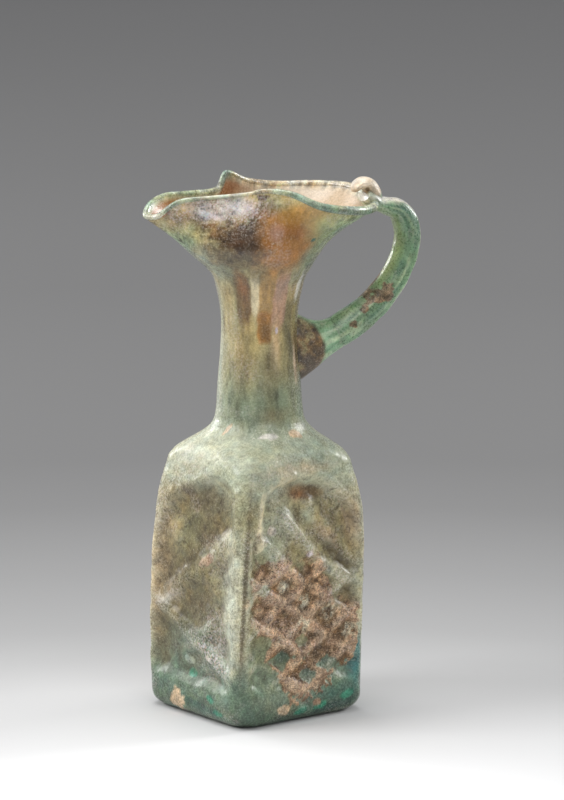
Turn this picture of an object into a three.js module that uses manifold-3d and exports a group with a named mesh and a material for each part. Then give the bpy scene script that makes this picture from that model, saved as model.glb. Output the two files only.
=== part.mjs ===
// A four-sided, mould-blown glass jug (oinochoe) with a trefoil mouth and one rod handle.
// Millimetres, +Z up. The origin is the centre of the underside. The spout points to -X and
// the handle stands on the +X side. The bubble of glass runs in one piece from the base to the
// mouth, so its neighbouring zones share their edge rings and touch face to face.
import * as THREE from 'three';
import { mergeVertices } from 'three/addons/utils/BufferGeometryUtils.js';
import Module from 'manifold-3d';

const { clamp, lerp, smoothstep, degToRad } = THREE.MathUtils;

// Body
const BODY_WIDTH = 63; // flat to flat at the widest height
const BODY_HEIGHT = 96; // foot to the corner of the shoulder
const BODY_CORNER = 8; // radius of the four upright corners
const BODY_YAW = 20.4; // degrees that the square is turned against the handle
const BODY_WALL = 2.6;
const FOOT_EDGE = 6; // radius between the underside and the sides
const FLOOR_THICKNESS = 4;
const BASE_HEIGHT = 12; // the plain band under the panels
// Its outline as [share of the height, share of the width]
const BODY_SWELL = [[0, 0.985], [0.2, 0.996], [0.45, 1], [0.78, 0.981], [0.9, 0.945], [1, 0.885]];

// Sunken panels with arched tops. Outlines and ribs are places as [share of half the body's
// width, share of its height], from the middle of a side.
const PANEL_FOOT = 15;
const PANEL_EDGE = 6; // width of the slope around a panel
const PANEL_DEPTH = 3;
const WIDE_RIB = { width: 12, rise: 1.8 }; // across its foot
const NARROW_RIB = { width: 8, rise: 2.1 };
const LOZENGE_PANEL = {
  left: -0.81,
  right: 0.78,
  arch: [[-0.96, 0.65], [-0.8, 0.73], [-0.6, 0.82], [-0.38, 0.9], [-0.03, 0.95], [0.22, 0.98],
    [0.43, 0.98], [0.7, 0.92], [0.86, 0.79]],
  ribs: [
    [[0.96, 0.865], [0.75, 0.82], [0.01, 0.653], [-0.71, 0.494], [-0.96, 0.44]],
    [[-0.83, 0.82], [0.01, 0.653], [0.86, 0.48]],
    [[0.83, 0.49], [-0.08, 0.276], [-0.51, 0.146], [-0.77, 0.07]],
    [[-0.83, 0.45], [0.04, 0.31], [0.9, 0.177]],
  ],
  rib: WIDE_RIB,
  diamonds: 0,
};
const DIAMOND_PANEL = {
  left: -0.84,
  right: 0.78,
  arch: [[-0.86, 0.77], [-0.73, 0.9], [-0.65, 0.94], [-0.42, 0.98], [-0.16, 0.99], [0.07, 0.98],
    [0.45, 0.94], [0.62, 0.88], [0.72, 0.79], [0.86, 0.65]],
  ribs: [
    [[0.06, 0.886], [0.56, 0.68], [0.86, 0.6]],
    [[-0.29, 0.854], [0.157, 0.667], [0.82, 0.524]],
  ],
  rib: NARROW_RIB,
  diamonds: 1,
};

// Diamonds of crossing ribs with a boss in each, up to a height
const DIAMOND_WIDTH = 21;
const DIAMOND_HEIGHT = 14;
const DIAMOND_MIDDLE = 33; // height of the middle of one diamond
const DIAMOND_TOP = 60; // height at which they fade out
const DIAMOND_FADE = 8;
const BOSS = { width: 9, rise: 1.3 };

// Shoulder and neck
const SHOULDER_RISE = 18; // corner of the shoulder to the root of the neck
const SHOULDER_START = 87; // height at which the wall begins to bend inwards
const NECK_LENGTH = 54;
const NECK_ROOT_RADIUS = 17.4;
const NECK_WAIST_RADIUS = 14.6;
const NECK_TOP_RADIUS = 17.2;
const NECK_WALL = 3;
const LEAN = 1.5; // the neck stands this far towards the handle
const LEAN_START = 20; // height from which the body leans
// Fall of the shoulder, and of the neck from its root to its waist and from there to its top,
// as [share of the height, share of the way out]
const SHOULDER_FALL = [[0.22, 0.92], [0.37, 0.82], [0.5, 0.65], [0.65, 0.38], [0.8, 0.17]];
const NECK_TO_WAIST = [[0, 1], [0.09, 0.69], [0.28, 0.5], [0.5, 0.15], [0.7, 0]];
const NECK_TO_TOP = [[0.85, 0.31], [0.945, 0.73], [1, 1]];
const ROUND_START = 0.1; // share of the shoulder at which its section begins to turn round

// Trefoil mouth
const FUNNEL_RISE = 26; // neck top to the edge at the spout's tip
const FUNNEL_THROAT = 1.5; // how far the throat widens in its first turn
const THROAT_RISE = 3.2;
const SPOUT_REACH = 45.2;
const HANDLE_REACH = 44.4;
const FUNNEL_HANDLE_REACH = 36; // the funnel is drawn in this far under the lobes' lip
const LOBE_WIDTH = 58;
const LOBE_CENTRE = 15; // the lobes are widest this far towards the handle
const PINCH_GAP = 40; // across the mouth between the two pinches
const NEAR_PINCH = 5; // the near pinch lies this far towards the spout
const FAR_PINCH = 8.2;
const SPOUT_WIDTH = 27;
const OVAL_LIFT = 3; // height of the unpinched oval over the tip of the spout
const OVAL_SHARE = 0.48; // share of the funnel's height at which it lies
const OVAL_SPREAD = 0.5; // share of the way out that the funnel has come there
// Plan of the mouth's edge: the spout as [share of its reach, share of its half width], the
// way to and from the pinch as [share along, share across], and the lobe as [share of the way
// from its widest place to the handle, share of its half width]
const SPOUT_PLAN = [[0.93, 0.42], [0.78, 0.76], [0.52, 1]];
const TO_PINCH = [0.74, 0.66];
const FROM_PINCH = [0.45, 0.55];
const LOBE_PLAN = [[0, 1], [0.55, 0.8], [0.89, 0.4]];
// Heights of its places over the tip of the spout, from the spout round to the handle. The far
// side stands higher than the near side.
const NEAR_LIFTS = [0.4, 6.2, 8, 9.6, 10.7, 9.8, 4.8, 1.2, 0];
const FAR_LIFTS = [3.5, 5.8, 6.1, 6.8, 12, 7.4, 4.2, 4, 3.6];
const MOUTH_WALL = 2;
const ROLL_SPOUT_RADIUS = 1.15; // rounded rim, thin at the spout
const ROLL_HANDLE_RADIUS = 1.9; // and thick beside the handle
const ROLL_GROWTH = 2.5; // how late the roll thickens towards the handle
const ROLL_OVER_WALL = 1.05; // the roll is at least this much wider than the wall

// Handle
const HANDLE_REACH_OUT = 59.6; // centre line from the neck's axis at its furthest
const HANDLE_THICKNESS = 10.6;
const ROD_FOOT_THICKNESS = 13.2; // the rod is thicker towards its foot
const ROD_FOOT_END = 0.68; // share of the centre line up to which it thins
const HANDLE_WIDTH = 11;
const HANDLE_RIB = 0.5; // depth of the groove between the two ribs on its back
const HANDLE_FOOT_LIFT = 27; // centre of its foot over the root of the neck
const PAD_HEIGHT = 28; // the foot's flare on the neck, along the neck
const PAD_WIDTH = 15;
const CLAW_THICKNESS = 5.6; // where the rod passes over the rim
const CLAW_WIDTH = 12;
const CLAW_LIFT = 3.4; // the claw's centre line over the rim's edge
const FOLD_THICKNESS = 2.4; // the looped strip of the thumb rest
const FOLD_WIDTH = 8.5;
const FOLD_RISE = 5.4; // of the thumb rest's centre line over the claw's end
// The centre line as [share of HANDLE_REACH_OUT, share of the rise from foot to claw]
const HANDLE_SHAPE = [[0.2, 0], [0.37, 0.03], [0.53, 0.09], [0.7, 0.2], [0.825, 0.32],
  [0.93, 0.48], [0.99, 0.64], [1, 0.79], [0.94, 0.91], [0.86, 0.94], [0.79, 0.965],
  [0.75, 1], [0.7, 1.03]];
// The thumb rest's arch from the rim over the claw's end to the rod, in shares of FOLD_RISE
const FOLD_SHAPE = [[-0.8, 0.2], [-0.63, 0.69], [-0.26, 0.98], [0.28, 1], [0.74, 0.69],
  [1.04, 0.13], [1.19, -0.52]];
const PAD_END = 0.2; // shares of the centre line at which its pieces meet
const ROD_END = 0.8;
const FLARE_END = 0.25;
const CLAW_START = 0.76;
const CLAW_FULL = 0.97;

// Ring-shaped scar under the base, left by the rod that held the jug while its rim was shaped
const SCAR_RADIUS = 8.5;
const SCAR_THICKNESS = 1.6;
const SCAR_ABOVE_FLOOR = 0.5;
const SCAR_SIDES = 6;

// Clearance between curved faces that touch on the real jug
const CLEARANCE = 0.3;

// Fineness of the meshes
const AROUND = 96;
const ROD_SIDES = 14;
const FINE_RIM = 720;

const NECK_ROOT = BODY_HEIGHT + SHOULDER_RISE;
const NECK_TOP = NECK_ROOT + NECK_LENGTH;
const MOUTH_EDGE = NECK_TOP + FUNNEL_RISE;
const FULL_TURN = 2 * Math.PI;
const SIDE_ANGLE = FULL_TURN / 4;
const SLOPE_STEP = 0.05; // height step for slopes found by small differences
const FUNNEL_STEP = 0.02; // the same as a share of the funnel

// A closed mesh through rings of equal length. A ring of one point is a pole. With closed, the
// last ring joins the first. turnedBand is the band whose quads are split the other way, and
// with shortest each quad is split along its shorter diagonal.
function loft(rings, { closed = false, turnedBand = -1, shortest = false } = {}) {
  const positions = [];
  const triangle = (...points) => points.forEach((p) => positions.push(p.x, p.y, p.z));
  const bands = closed ? rings.length : rings.length - 1;
  for (let k = 0; k < bands; k++) {
    const low = rings[k];
    const high = rings[(k + 1) % rings.length];
    const count = Math.max(low.length, high.length);
    for (let i = 0; i < count; i++) {
      const next = (i + 1) % count;
      const [a, b] = low.length > 1 ? [low[i], low[next]] : [low[0], low[0]];
      const [d, c] = high.length > 1 ? [high[i], high[next]] : [high[0], high[0]];
      if (low.length === 1) triangle(a, c, d);
      else if (high.length === 1) triangle(a, b, c);
      else if (k === turnedBand || (shortest && b.distanceTo(d) < a.distanceTo(c))) {
        triangle(a, b, d);
        triangle(b, c, d);
      } else {
        triangle(a, b, c);
        triangle(a, c, d);
      }
    }
  }
  const geometry = new THREE.BufferGeometry();
  geometry.setAttribute('position', new THREE.Float32BufferAttribute(positions, 3));
  return mergeVertices(geometry, 1e-4);
}

// Booleans
const wasm = await Module();
wasm.setup();

function solidOf(geometry) {
  return new wasm.Manifold(
    new wasm.Mesh({
      numProp: 3,
      vertProperties: geometry.getAttribute('position').array,
      triVerts: new Uint32Array(geometry.index.array),
    }),
  );
}

function cutAway(geometry, ...tools) {
  const cut = tools.reduce((left, tool) => left.subtract(solidOf(tool)), solidOf(geometry));
  const mesh = cut.getMesh();
  const result = new THREE.BufferGeometry();
  result.setAttribute('position', new THREE.Float32BufferAttribute(mesh.vertProperties, 3));
  result.setIndex(new THREE.BufferAttribute(mesh.triVerts, 1));
  return result;
}

// A smooth curve of one value over height, through rows of [height, value]
function curveThrough(rows) {
  const interpolant = new THREE.CubicInterpolant(
    rows.map((row) => row[0]),
    rows.map((row) => row[1]),
    1,
  );
  return (height) => interpolant.evaluate(height)[0];
}

// Half side of the rounded square at each height, from the foot to the neck's top
function outlineRows() {
  const half = BODY_WIDTH / 2;
  const corner = half * BODY_SWELL.at(-1)[1];
  const body = BODY_SWELL.map(([share, width]) => [BODY_HEIGHT * share, half * width]);
  const shoulder = SHOULDER_FALL.map(([share, out]) => [
    BODY_HEIGHT + SHOULDER_RISE * share,
    lerp(NECK_ROOT_RADIUS, corner, out),
  ]);
  const neck = (rows, end) =>
    rows.map(([share, out]) => [
      NECK_ROOT + NECK_LENGTH * share,
      lerp(NECK_WAIST_RADIUS, end, out),
    ]);
  return [
    ...body,
    ...shoulder,
    ...neck(NECK_TO_WAIST, NECK_ROOT_RADIUS),
    ...neck(NECK_TO_TOP, NECK_TOP_RADIUS),
  ];
}

const halfSide = curveThrough(outlineRows());

// Corner radius: constant on the body, then growing until the section is round at the neck
function cornerRadius(height) {
  const roundness = smoothstep(height, BODY_HEIGHT + SHOULDER_RISE * ROUND_START, NECK_ROOT);
  return lerp(BODY_CORNER, halfSide(height), roundness);
}

// The square's half side under the foot's rounded edge
function footInset(height) {
  const below = Math.max(0, FOOT_EDGE - height);
  return FOOT_EDGE - Math.sqrt(FOOT_EDGE ** 2 - below ** 2);
}

// Radius of a rounded square at an angle from the middle of one side
function roundedSquare(angle, half, corner) {
  const folded = Math.abs(angle - SIDE_ANGLE * Math.round(angle / SIDE_ANGLE));
  const centre = half - corner;
  if (half * Math.tan(folded) <= centre) return half / Math.cos(folded);
  const along = Math.cos(folded) + Math.sin(folded);
  const across = Math.cos(folded) - Math.sin(folded);
  return centre * along + Math.sqrt(Math.max(0, corner ** 2 - (centre * across) ** 2));
}

// A soft hill: its rise in the middle, 0 from half its width on
const hill = (distance, { width, rise }) =>
  rise * Math.max(0, 1 - (distance / (width / 2)) ** 2) ** 2;

// Distance from a place to a line of places
function distanceTo(line, across, height) {
  const distances = line.slice(1).map(([endAcross, endHeight], k) => {
    const [startAcross, startHeight] = line[k];
    const run = endAcross - startAcross;
    const climb = endHeight - startHeight;
    const along = (across - startAcross) * run + (height - startHeight) * climb;
    const share = clamp(along / (run ** 2 + climb ** 2), 0, 1);
    return Math.hypot(
      across - startAcross - share * run,
      height - startHeight - share * climb,
    );
  });
  return Math.min(...distances);
}

// Crossing ribs and bosses of the diamonds
function diamondRise(across, height) {
  const slope = DIAMOND_HEIGHT / DIAMOND_WIDTH;
  const level = height - DIAMOND_MIDDLE - DIAMOND_HEIGHT / 2;
  const rib = (phase) => {
    const off = (Math.abs(phase - Math.round(phase)) * DIAMOND_HEIGHT) / Math.hypot(1, slope);
    return hill(off, NARROW_RIB);
  };
  const column = Math.round((2 * across) / DIAMOND_WIDTH);
  const odd = (Math.abs(column) % 2) / 2;
  const row = Math.round((height - DIAMOND_MIDDLE) / DIAMOND_HEIGHT - odd) + odd;
  const offBoss = Math.hypot(
    across - (column * DIAMOND_WIDTH) / 2,
    height - DIAMOND_MIDDLE - row * DIAMOND_HEIGHT,
  );
  const raised = Math.max(
    rib((level + across * slope) / DIAMOND_HEIGHT),
    rib((level - across * slope) / DIAMOND_HEIGHT),
    hill(offBoss, BOSS),
  );
  return raised * (1 - smoothstep(height, DIAMOND_TOP, DIAMOND_TOP + DIAMOND_FADE));
}

// A panel in millimetres: 1 inside its arched outline, and the rise of its ribs
function panelSurface({ left, right, arch, ribs, rib, diamonds }) {
  const half = BODY_WIDTH / 2;
  const place = ([across, height]) => [across * half, height * BODY_HEIGHT];
  const topAt = curveThrough(arch.map(place));
  const lines = ribs.map((line) => line.map(place));
  const inside = (distance) => smoothstep(distance, -PANEL_EDGE / 2, PANEL_EDGE / 2);
  return {
    mask: (across, height) =>
      inside(across - left * half) *
      inside(right * half - across) *
      inside(height - PANEL_FOOT) *
      inside(topAt(across) - height),
    rise: (across, height) =>
      Math.max(
        diamonds * diamondRise(across, height),
        ...lines.map((line) => hill(distanceTo(line, across, height), rib)),
      ),
  };
}

const lozenges = panelSurface(LOZENGE_PANEL);
const crossedDiamonds = panelSurface(DIAMOND_PANEL);

// How far a point of the body lies under its plain rounded square
function panelDepth(angle, height) {
  const side = Math.round(angle / SIDE_ANGLE);
  const across = halfSide(height) * Math.tan(angle - side * SIDE_ANGLE);
  const panel = side % 2 ? crossedDiamonds : lozenges;
  const mask = panel.mask(across, height);
  return { sunk: mask * PANEL_DEPTH, raised: mask * panel.rise(across, height) };
}

const axisShift = (height) => LEAN * smoothstep(height, LEAN_START, SHOULDER_START);
const turnOf = (index) => (FULL_TURN * index) / AROUND;
const worldAngle = (index) => degToRad(BODY_YAW) + turnOf(index);
const wallAt = (height) =>
  lerp(BODY_WALL, NECK_WALL, smoothstep(height, SHOULDER_START, NECK_ROOT));

function polarPoint(index, radius, height, shift = 0) {
  const angle = worldAngle(index);
  return new THREE.Vector3(
    shift + radius * Math.cos(angle),
    radius * Math.sin(angle),
    height,
  );
}

const ringOf = (pointAt) => Array.from({ length: AROUND }, (_, index) => pointAt(index));
const circle = (radius, height) => ringOf((i) => polarPoint(i, radius, height));

// Rings of the bubble from the foot to the top of the neck
function outerPoint(index, height) {
  const half = halfSide(height) - footInset(height);
  const { sunk, raised } = panelDepth(turnOf(index), height);
  const radius = roundedSquare(turnOf(index), half, cornerRadius(height)) - sunk + raised;
  return polarPoint(index, radius, height, axisShift(height));
}

function innerPoint(index, height) {
  const wall = wallAt(height);
  const corner = Math.max(1, cornerRadius(height) - wall);
  const { sunk } = panelDepth(turnOf(index), height);
  const radius = roundedSquare(turnOf(index), halfSide(height) - wall, corner) - sunk;
  return polarPoint(index, radius, height, axisShift(height));
}

const outerRing = (height) => ringOf((i) => outerPoint(i, height));
const innerRing = (height) => ringOf((i) => innerPoint(i, height));

// Unit normal of a surface given by (index, level), pointing out
function outwardNormal(surface, index, level, step) {
  const along = surface(index + 0.5, level).sub(surface(index - 0.5, level));
  const up = surface(index, level + step).sub(surface(index, level - step));
  return along.cross(up).normalize();
}

// A ring at one wall's thickness inside a surface
function ringInside(surface, level, step, wall) {
  return ringOf((i) =>
    surface(i, level).addScaledVector(outwardNormal(surface, i, level, step), -wall),
  );
}

function levels(from, to, count) {
  return Array.from({ length: count + 1 }, (_, k) => lerp(from, to, k / count));
}

function baseGeometry() {
  const groove = SCAR_RADIUS - SCAR_THICKNESS / 2 - CLEARANCE;
  const grooveOut = SCAR_RADIUS + SCAR_THICKNESS / 2 + CLEARANCE;
  const grooveDepth = SCAR_ABOVE_FLOOR + SCAR_THICKNESS + CLEARANCE;
  const foot = [0, 0.25, 1].map((share) => share * FOOT_EDGE);
  const hollowFloor = halfSide(FLOOR_THICKNESS) - BODY_WALL - FOOT_EDGE;
  return loft([
    [new THREE.Vector3(0, 0, 0)],
    circle(groove, 0),
    circle(groove, grooveDepth),
    circle(grooveOut, grooveDepth),
    circle(grooveOut, 0),
    ...foot.map(outerRing),
    outerRing(BASE_HEIGHT),
    innerRing(BASE_HEIGHT),
    innerRing(FLOOR_THICKNESS + FOOT_EDGE / 2),
    ringOf((i) =>
      polarPoint(i, roundedSquare(turnOf(i), hollowFloor, BODY_CORNER), FLOOR_THICKNESS),
    ),
    [new THREE.Vector3(0, 0, FLOOR_THICKNESS)],
  ]);
}

function bodyWallGeometry() {
  const outside = levels(BASE_HEIGHT, SHOULDER_START, 34);
  const inside = levels(SHOULDER_START, BASE_HEIGHT, 6);
  const rings = [...outside.map(outerRing), ...inside.map(innerRing)];
  return loft(rings, { closed: true, shortest: true });
}

function shoulderGeometry() {
  const outside = levels(SHOULDER_START, NECK_ROOT, 9);
  const inside = levels(NECK_ROOT, SHOULDER_START, 5);
  const between = inside
    .slice(1, -1)
    .map((height) => ringInside(outerPoint, height, SLOPE_STEP, wallAt(height)));
  return loft(
    [...outside.map(outerRing), innerRing(NECK_ROOT), ...between, innerRing(SHOULDER_START)],
    { closed: true },
  );
}

function neckGeometry() {
  const outside = levels(NECK_ROOT, NECK_TOP, 6);
  const inside = levels(NECK_TOP, NECK_ROOT, 3);
  return loft([...outside.map(outerRing), ...inside.map(innerRing)], { closed: true });
}

// The rim's edge, seen from above as a spout and two side lobes between two pinches
function rimCurve() {
  const pinch = PINCH_GAP / 2;
  const spout = SPOUT_WIDTH / 2;
  const lobe = LOBE_WIDTH / 2;
  const point = (x, y, lift) => new THREE.Vector3(x + LEAN, y, MOUTH_EDGE + lift);
  const spoutRoot = -SPOUT_REACH * SPOUT_PLAN.at(-1)[0];
  const placesBy = (offset) => [
    ...SPOUT_PLAN.map(([along, across]) => [-SPOUT_REACH * along, spout * across]),
    [lerp(spoutRoot, -offset, TO_PINCH[0]), lerp(spout, pinch, TO_PINCH[1])],
    [-offset, pinch],
    [lerp(-offset, LOBE_CENTRE, FROM_PINCH[0]), lerp(pinch, lobe, FROM_PINCH[1])],
    ...LOBE_PLAN.map(([along, across]) => [
      lerp(LOBE_CENTRE, HANDLE_REACH, along),
      lobe * across,
    ]),
  ];
  const flank = (sign, offset, lifts) =>
    placesBy(offset).map(([x, y], k) => point(x, sign * y, lifts[k]));
  return new THREE.CatmullRomCurve3(
    [
      point(-SPOUT_REACH, 0, 0),
      ...flank(-1, NEAR_PINCH, NEAR_LIFTS),
      point(HANDLE_REACH, 0, 0),
      ...flank(1, FAR_PINCH, FAR_LIFTS).reverse(),
    ],
    true,
    'centripetal',
  );
}

// Radius and height of the rim's edge for any direction, read off the curve
function rimLookup() {
  const samples = rimCurve()
    .getPoints(FINE_RIM)
    .slice(0, -1)
    .map((p) => {
      const x = p.x - LEAN;
      return { angle: Math.atan2(p.y, x), radius: Math.hypot(x, p.y), height: p.z };
    })
    .sort((p, q) => p.angle - q.angle);
  return (angle) => {
    const wrapped = Math.atan2(Math.sin(angle), Math.cos(angle));
    const found = samples.findIndex((sample) => sample.angle > wrapped);
    const after = samples[found < 0 ? 0 : found];
    const before = samples[(found < 1 ? samples.length : found) - 1];
    const span = (after.angle - before.angle + FULL_TURN) % FULL_TURN;
    const share = ((wrapped - before.angle + FULL_TURN) % FULL_TURN) / span;
    return {
      radius: lerp(before.radius, after.radius, share),
      height: lerp(before.height, after.height, share),
    };
  };
}

const rimAt = rimLookup();

// One upright line of the funnel: neck, throat, the unpinched oval half way up, and the rim
function meridian(index) {
  const angle = worldAngle(index);
  const reach = Math.cos(angle) < 0 ? SPOUT_REACH : FUNNEL_HANDLE_REACH;
  const sideReach = LOBE_WIDTH / 2 + FUNNEL_THROAT;
  const ovalHeight = lerp(NECK_TOP + THROAT_RISE, MOUTH_EDGE + OVAL_LIFT, OVAL_SHARE);
  const oval = 1 / Math.hypot(Math.cos(angle) / reach, Math.sin(angle) / sideReach);
  const throat = NECK_TOP_RADIUS + FUNNEL_THROAT;
  const rim = rimAt(angle);
  const row = (radius, height) => polarPoint(index, radius, height, LEAN);
  return new THREE.CatmullRomCurve3(
    [
      row(halfSide(NECK_TOP - THROAT_RISE), NECK_TOP - THROAT_RISE),
      row(NECK_TOP_RADIUS, NECK_TOP),
      row(throat, NECK_TOP + THROAT_RISE),
      row(lerp(throat, oval, OVAL_SPREAD), ovalHeight),
      row(rim.radius, rim.height),
    ],
    false,
    'centripetal',
  );
}

// level 0 is the top of the neck and level 1 the rim's edge
function funnelPoint(index, level) {
  return meridian(index).getPoint(lerp(0.25, 1, level));
}

const funnelOuter = (level) => ringOf((i) => funnelPoint(i, level));
const funnelInner = (level) =>
  ringInside(
    (index, at) => funnelPoint(index, Math.min(1, at)),
    level,
    FUNNEL_STEP,
    MOUTH_WALL + (NECK_WALL - MOUTH_WALL) * (1 - level),
  );

function funnelGeometry() {
  const outside = levels(0, 1, 8);
  const inside = levels(1, 0, 5).slice(0, -1);
  return loft(
    [outerRing(NECK_TOP), ...outside.slice(1).map(funnelOuter), ...inside.map(funnelInner),
      innerRing(NECK_TOP)],
    { closed: true },
  );
}

// Rings of the rounded rim, from the outer edge of the funnel over the top to its inner edge.
// grown moves the surface out.
function rollRings(steps, grown = 0) {
  const outer = funnelOuter(1);
  const inner = funnelInner(1);
  return Array.from({ length: steps + 1 }, (_, k) =>
    outer.map((edge, i) => {
      const middle = edge.clone().add(inner[i]).multiplyScalar(0.5);
      const outward = edge.clone().sub(middle);
      const halfWall = outward.length();
      outward.normalize();
      const up = funnelPoint(i, 1).sub(funnelPoint(i, 1 - FUNNEL_STEP)).normalize();
      const towardsHandle = ((1 + Math.cos(worldAngle(i))) / 2) ** ROLL_GROWTH;
      const size = lerp(ROLL_SPOUT_RADIUS, ROLL_HANDLE_RADIUS, towardsHandle);
      const radius = Math.max(size, halfWall * ROLL_OVER_WALL);
      const rise = Math.sqrt(radius ** 2 - halfWall ** 2);
      const start = -Math.asin(rise / radius);
      const angle = lerp(start, Math.PI - start, k / steps);
      return middle
        .addScaledVector(up, rise + (radius + grown) * Math.sin(angle))
        .addScaledVector(outward, (radius + grown) * Math.cos(angle));
    }),
  );
}

function rimGeometry() {
  const steps = 6;
  const rings = rollRings(steps);
  rings[0] = funnelOuter(1);
  rings[steps] = funnelInner(1);
  return loft(rings, { closed: true, turnedBand: steps });
}

// The jug's outer shape from the shoulder up as a filled solid, grown by the clearance, which
// the handle's ends are cut to
function keepOutGeometry() {
  const stem = levels(NECK_ROOT, NECK_TOP, 10).map((height) =>
    ringInside(outerPoint, height, SLOPE_STEP, -CLEARANCE),
  );
  const funnel = levels(0, 1, 9)
    .slice(1)
    .map((level) =>
      ringInside((i, at) => funnelPoint(i, Math.min(1, at)), level, FUNNEL_STEP, -CLEARANCE),
    );
  const roll = rollRings(8, CLEARANCE).slice(1, 6);
  return loft([
    [new THREE.Vector3(LEAN, 0, NECK_ROOT)],
    ...stem,
    ...funnel,
    ...roll,
    [new THREE.Vector3(LEAN, 0, MOUTH_EDGE + OVAL_LIFT)],
  ]);
}

// Centre line of the handle from inside the neck's wall up to the rim, in the plane through the
// neck's axis
const FOOT_HEIGHT = NECK_ROOT + HANDLE_FOOT_LIFT;
const CLAW_HEIGHT = MOUTH_EDGE + CLAW_LIFT;
const splineThrough = (points) => new THREE.CatmullRomCurve3(points, false, 'centripetal');

const PATH = splineThrough(
  HANDLE_SHAPE.map(
    ([reach, share]) =>
      new THREE.Vector3(
        LEAN + HANDLE_REACH_OUT * reach,
        0,
        lerp(FOOT_HEIGHT, CLAW_HEIGHT, share),
      ),
  ),
);

function foldPath() {
  const start = PATH.getPointAt(1);
  return splineThrough(
    FOLD_SHAPE.map(
      ([out, rise]) =>
        new THREE.Vector3(start.x + out * FOLD_RISE, 0, start.z + rise * FOLD_RISE),
    ),
  );
}

// One oval section of the handle, across its path, with a shallow groove on its outer face
function ovalRing(path, at, { thickness, width, groove = 0 }, grown = 0) {
  const centre = path.getPointAt(at);
  const tangent = path.getTangentAt(at);
  const outwards = new THREE.Vector3(tangent.z, 0, -tangent.x).normalize();
  return Array.from({ length: ROD_SIDES }, (_, k) => {
    const angle = (FULL_TURN * k) / ROD_SIDES;
    const onBack = Math.max(0, Math.cos(angle)) ** 6;
    return centre
      .clone()
      .addScaledVector(outwards, (thickness / 2 + grown - groove * onBack) * Math.cos(angle))
      .add(new THREE.Vector3(0, (width / 2 + grown) * Math.sin(angle), 0));
  });
}

function sweep(path, from, to, steps, sectionAt, grown = 0) {
  const rings = levels(from, to, steps).map((at) => ovalRing(path, at, sectionAt(at), grown));
  return loft([[path.getPointAt(from)], ...rings, [path.getPointAt(to)]]);
}

// The handle's section along its centre line: a trumpet foot, an even rod and a flat claw
function handleSection(at) {
  const flare = 1 - smoothstep(at, 0, FLARE_END);
  const claw = smoothstep(at, CLAW_START, CLAW_FULL);
  const thinning = smoothstep(at, FLARE_END, ROD_FOOT_END);
  const rod = lerp(ROD_FOOT_THICKNESS, HANDLE_THICKNESS, thinning);
  const rodThickness = lerp(rod, CLAW_THICKNESS, claw);
  return {
    thickness: lerp(rodThickness, PAD_HEIGHT, flare ** 2),
    width: lerp(lerp(HANDLE_WIDTH, CLAW_WIDTH, claw), PAD_WIDTH, flare),
    groove: HANDLE_RIB * (1 - flare) * (1 - claw),
  };
}

const FOLD_SECTION = { thickness: FOLD_THICKNESS, width: FOLD_WIDTH };

function padGeometry(keepOut) {
  return cutAway(sweep(PATH, 0, PAD_END, 8, handleSection), keepOut);
}

// The rod from its flare to the rim's claw, and grown by the clearance for cuts
const rodSweep = (grown = 0) => sweep(PATH, PAD_END, ROD_END, 26, handleSection, grown);
const clawSweep = (grown = 0) => sweep(PATH, ROD_END, 1, 10, handleSection, grown);

function foldGeometry(keepOut) {
  const strip = sweep(foldPath(), 0, 1, 18, () => FOLD_SECTION);
  return cutAway(strip, keepOut, clawSweep(CLEARANCE), rodSweep(CLEARANCE));
}

function scarGeometry() {
  const profile = Array.from({ length: SCAR_SIDES + 1 }, (_, k) => {
    const angle = (-FULL_TURN * k) / SCAR_SIDES;
    const half = SCAR_THICKNESS / 2;
    return new THREE.Vector2(
      SCAR_RADIUS + half * Math.cos(angle),
      SCAR_ABOVE_FLOOR + half + half * Math.sin(angle),
    );
  });
  return new THREE.LatheGeometry(profile.reverse(), 24).rotateX(Math.PI / 2);
}

// Colours of the weathered glass, zone by zone
const GLASS = {
  base: { color: 0x6f9d86, roughness: 0.35 },
  wall: { color: 0x8f9678, roughness: 0.55 },
  shoulder: { color: 0xa9b59a, roughness: 0.45 },
  neck: { color: 0xb4b092, roughness: 0.4 },
  mouth: { color: 0xa08a68, roughness: 0.55 },
  rim: { color: 0x86ab95, roughness: 0.25 },
  handle: { color: 0x6f9a7c, roughness: 0.25 },
  crust: { color: 0x8c6f58, roughness: 0.7 },
  pale: { color: 0xd9cfb8, roughness: 0.5 },
};

function pieceMesh(name, geometry, glass) {
  const material = new THREE.MeshStandardMaterial({ ...glass, metalness: 0 });
  const mesh = new THREE.Mesh(geometry, material);
  mesh.name = name;
  return mesh;
}

function buildJug() {
  const keepOut = keepOutGeometry();
  const jug = new THREE.Group();
  jug.add(
    pieceMesh('base', baseGeometry(), GLASS.base),
    pieceMesh('body_wall', bodyWallGeometry(), GLASS.wall),
    pieceMesh('shoulder', shoulderGeometry(), GLASS.shoulder),
    pieceMesh('neck', neckGeometry(), GLASS.neck),
    pieceMesh('mouth_funnel', funnelGeometry(), GLASS.mouth),
    pieceMesh('rim_roll', rimGeometry(), GLASS.rim),
    pieceMesh('handle_foot_pad', padGeometry(keepOut), GLASS.crust),
    pieceMesh('handle_rod', rodSweep(), GLASS.handle),
    pieceMesh('handle_claw', cutAway(clawSweep(), keepOut), GLASS.handle),
    pieceMesh('thumb_rest', foldGeometry(keepOut), GLASS.pale),
    pieceMesh('pontil_scar', scarGeometry(), GLASS.base),
  );
  return jug;
}

export default buildJug();
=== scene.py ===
"""A weathered, mould-blown glass oinochoe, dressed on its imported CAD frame.

Lengths in the shape classes are millimetres and turn into metres when a mesh is built. The
vessel's axis is +Z, the spout points to -X and the handle stands on the +X side.
"""

import itertools
import logging
import math
from dataclasses import dataclass
from enum import Enum

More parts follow.
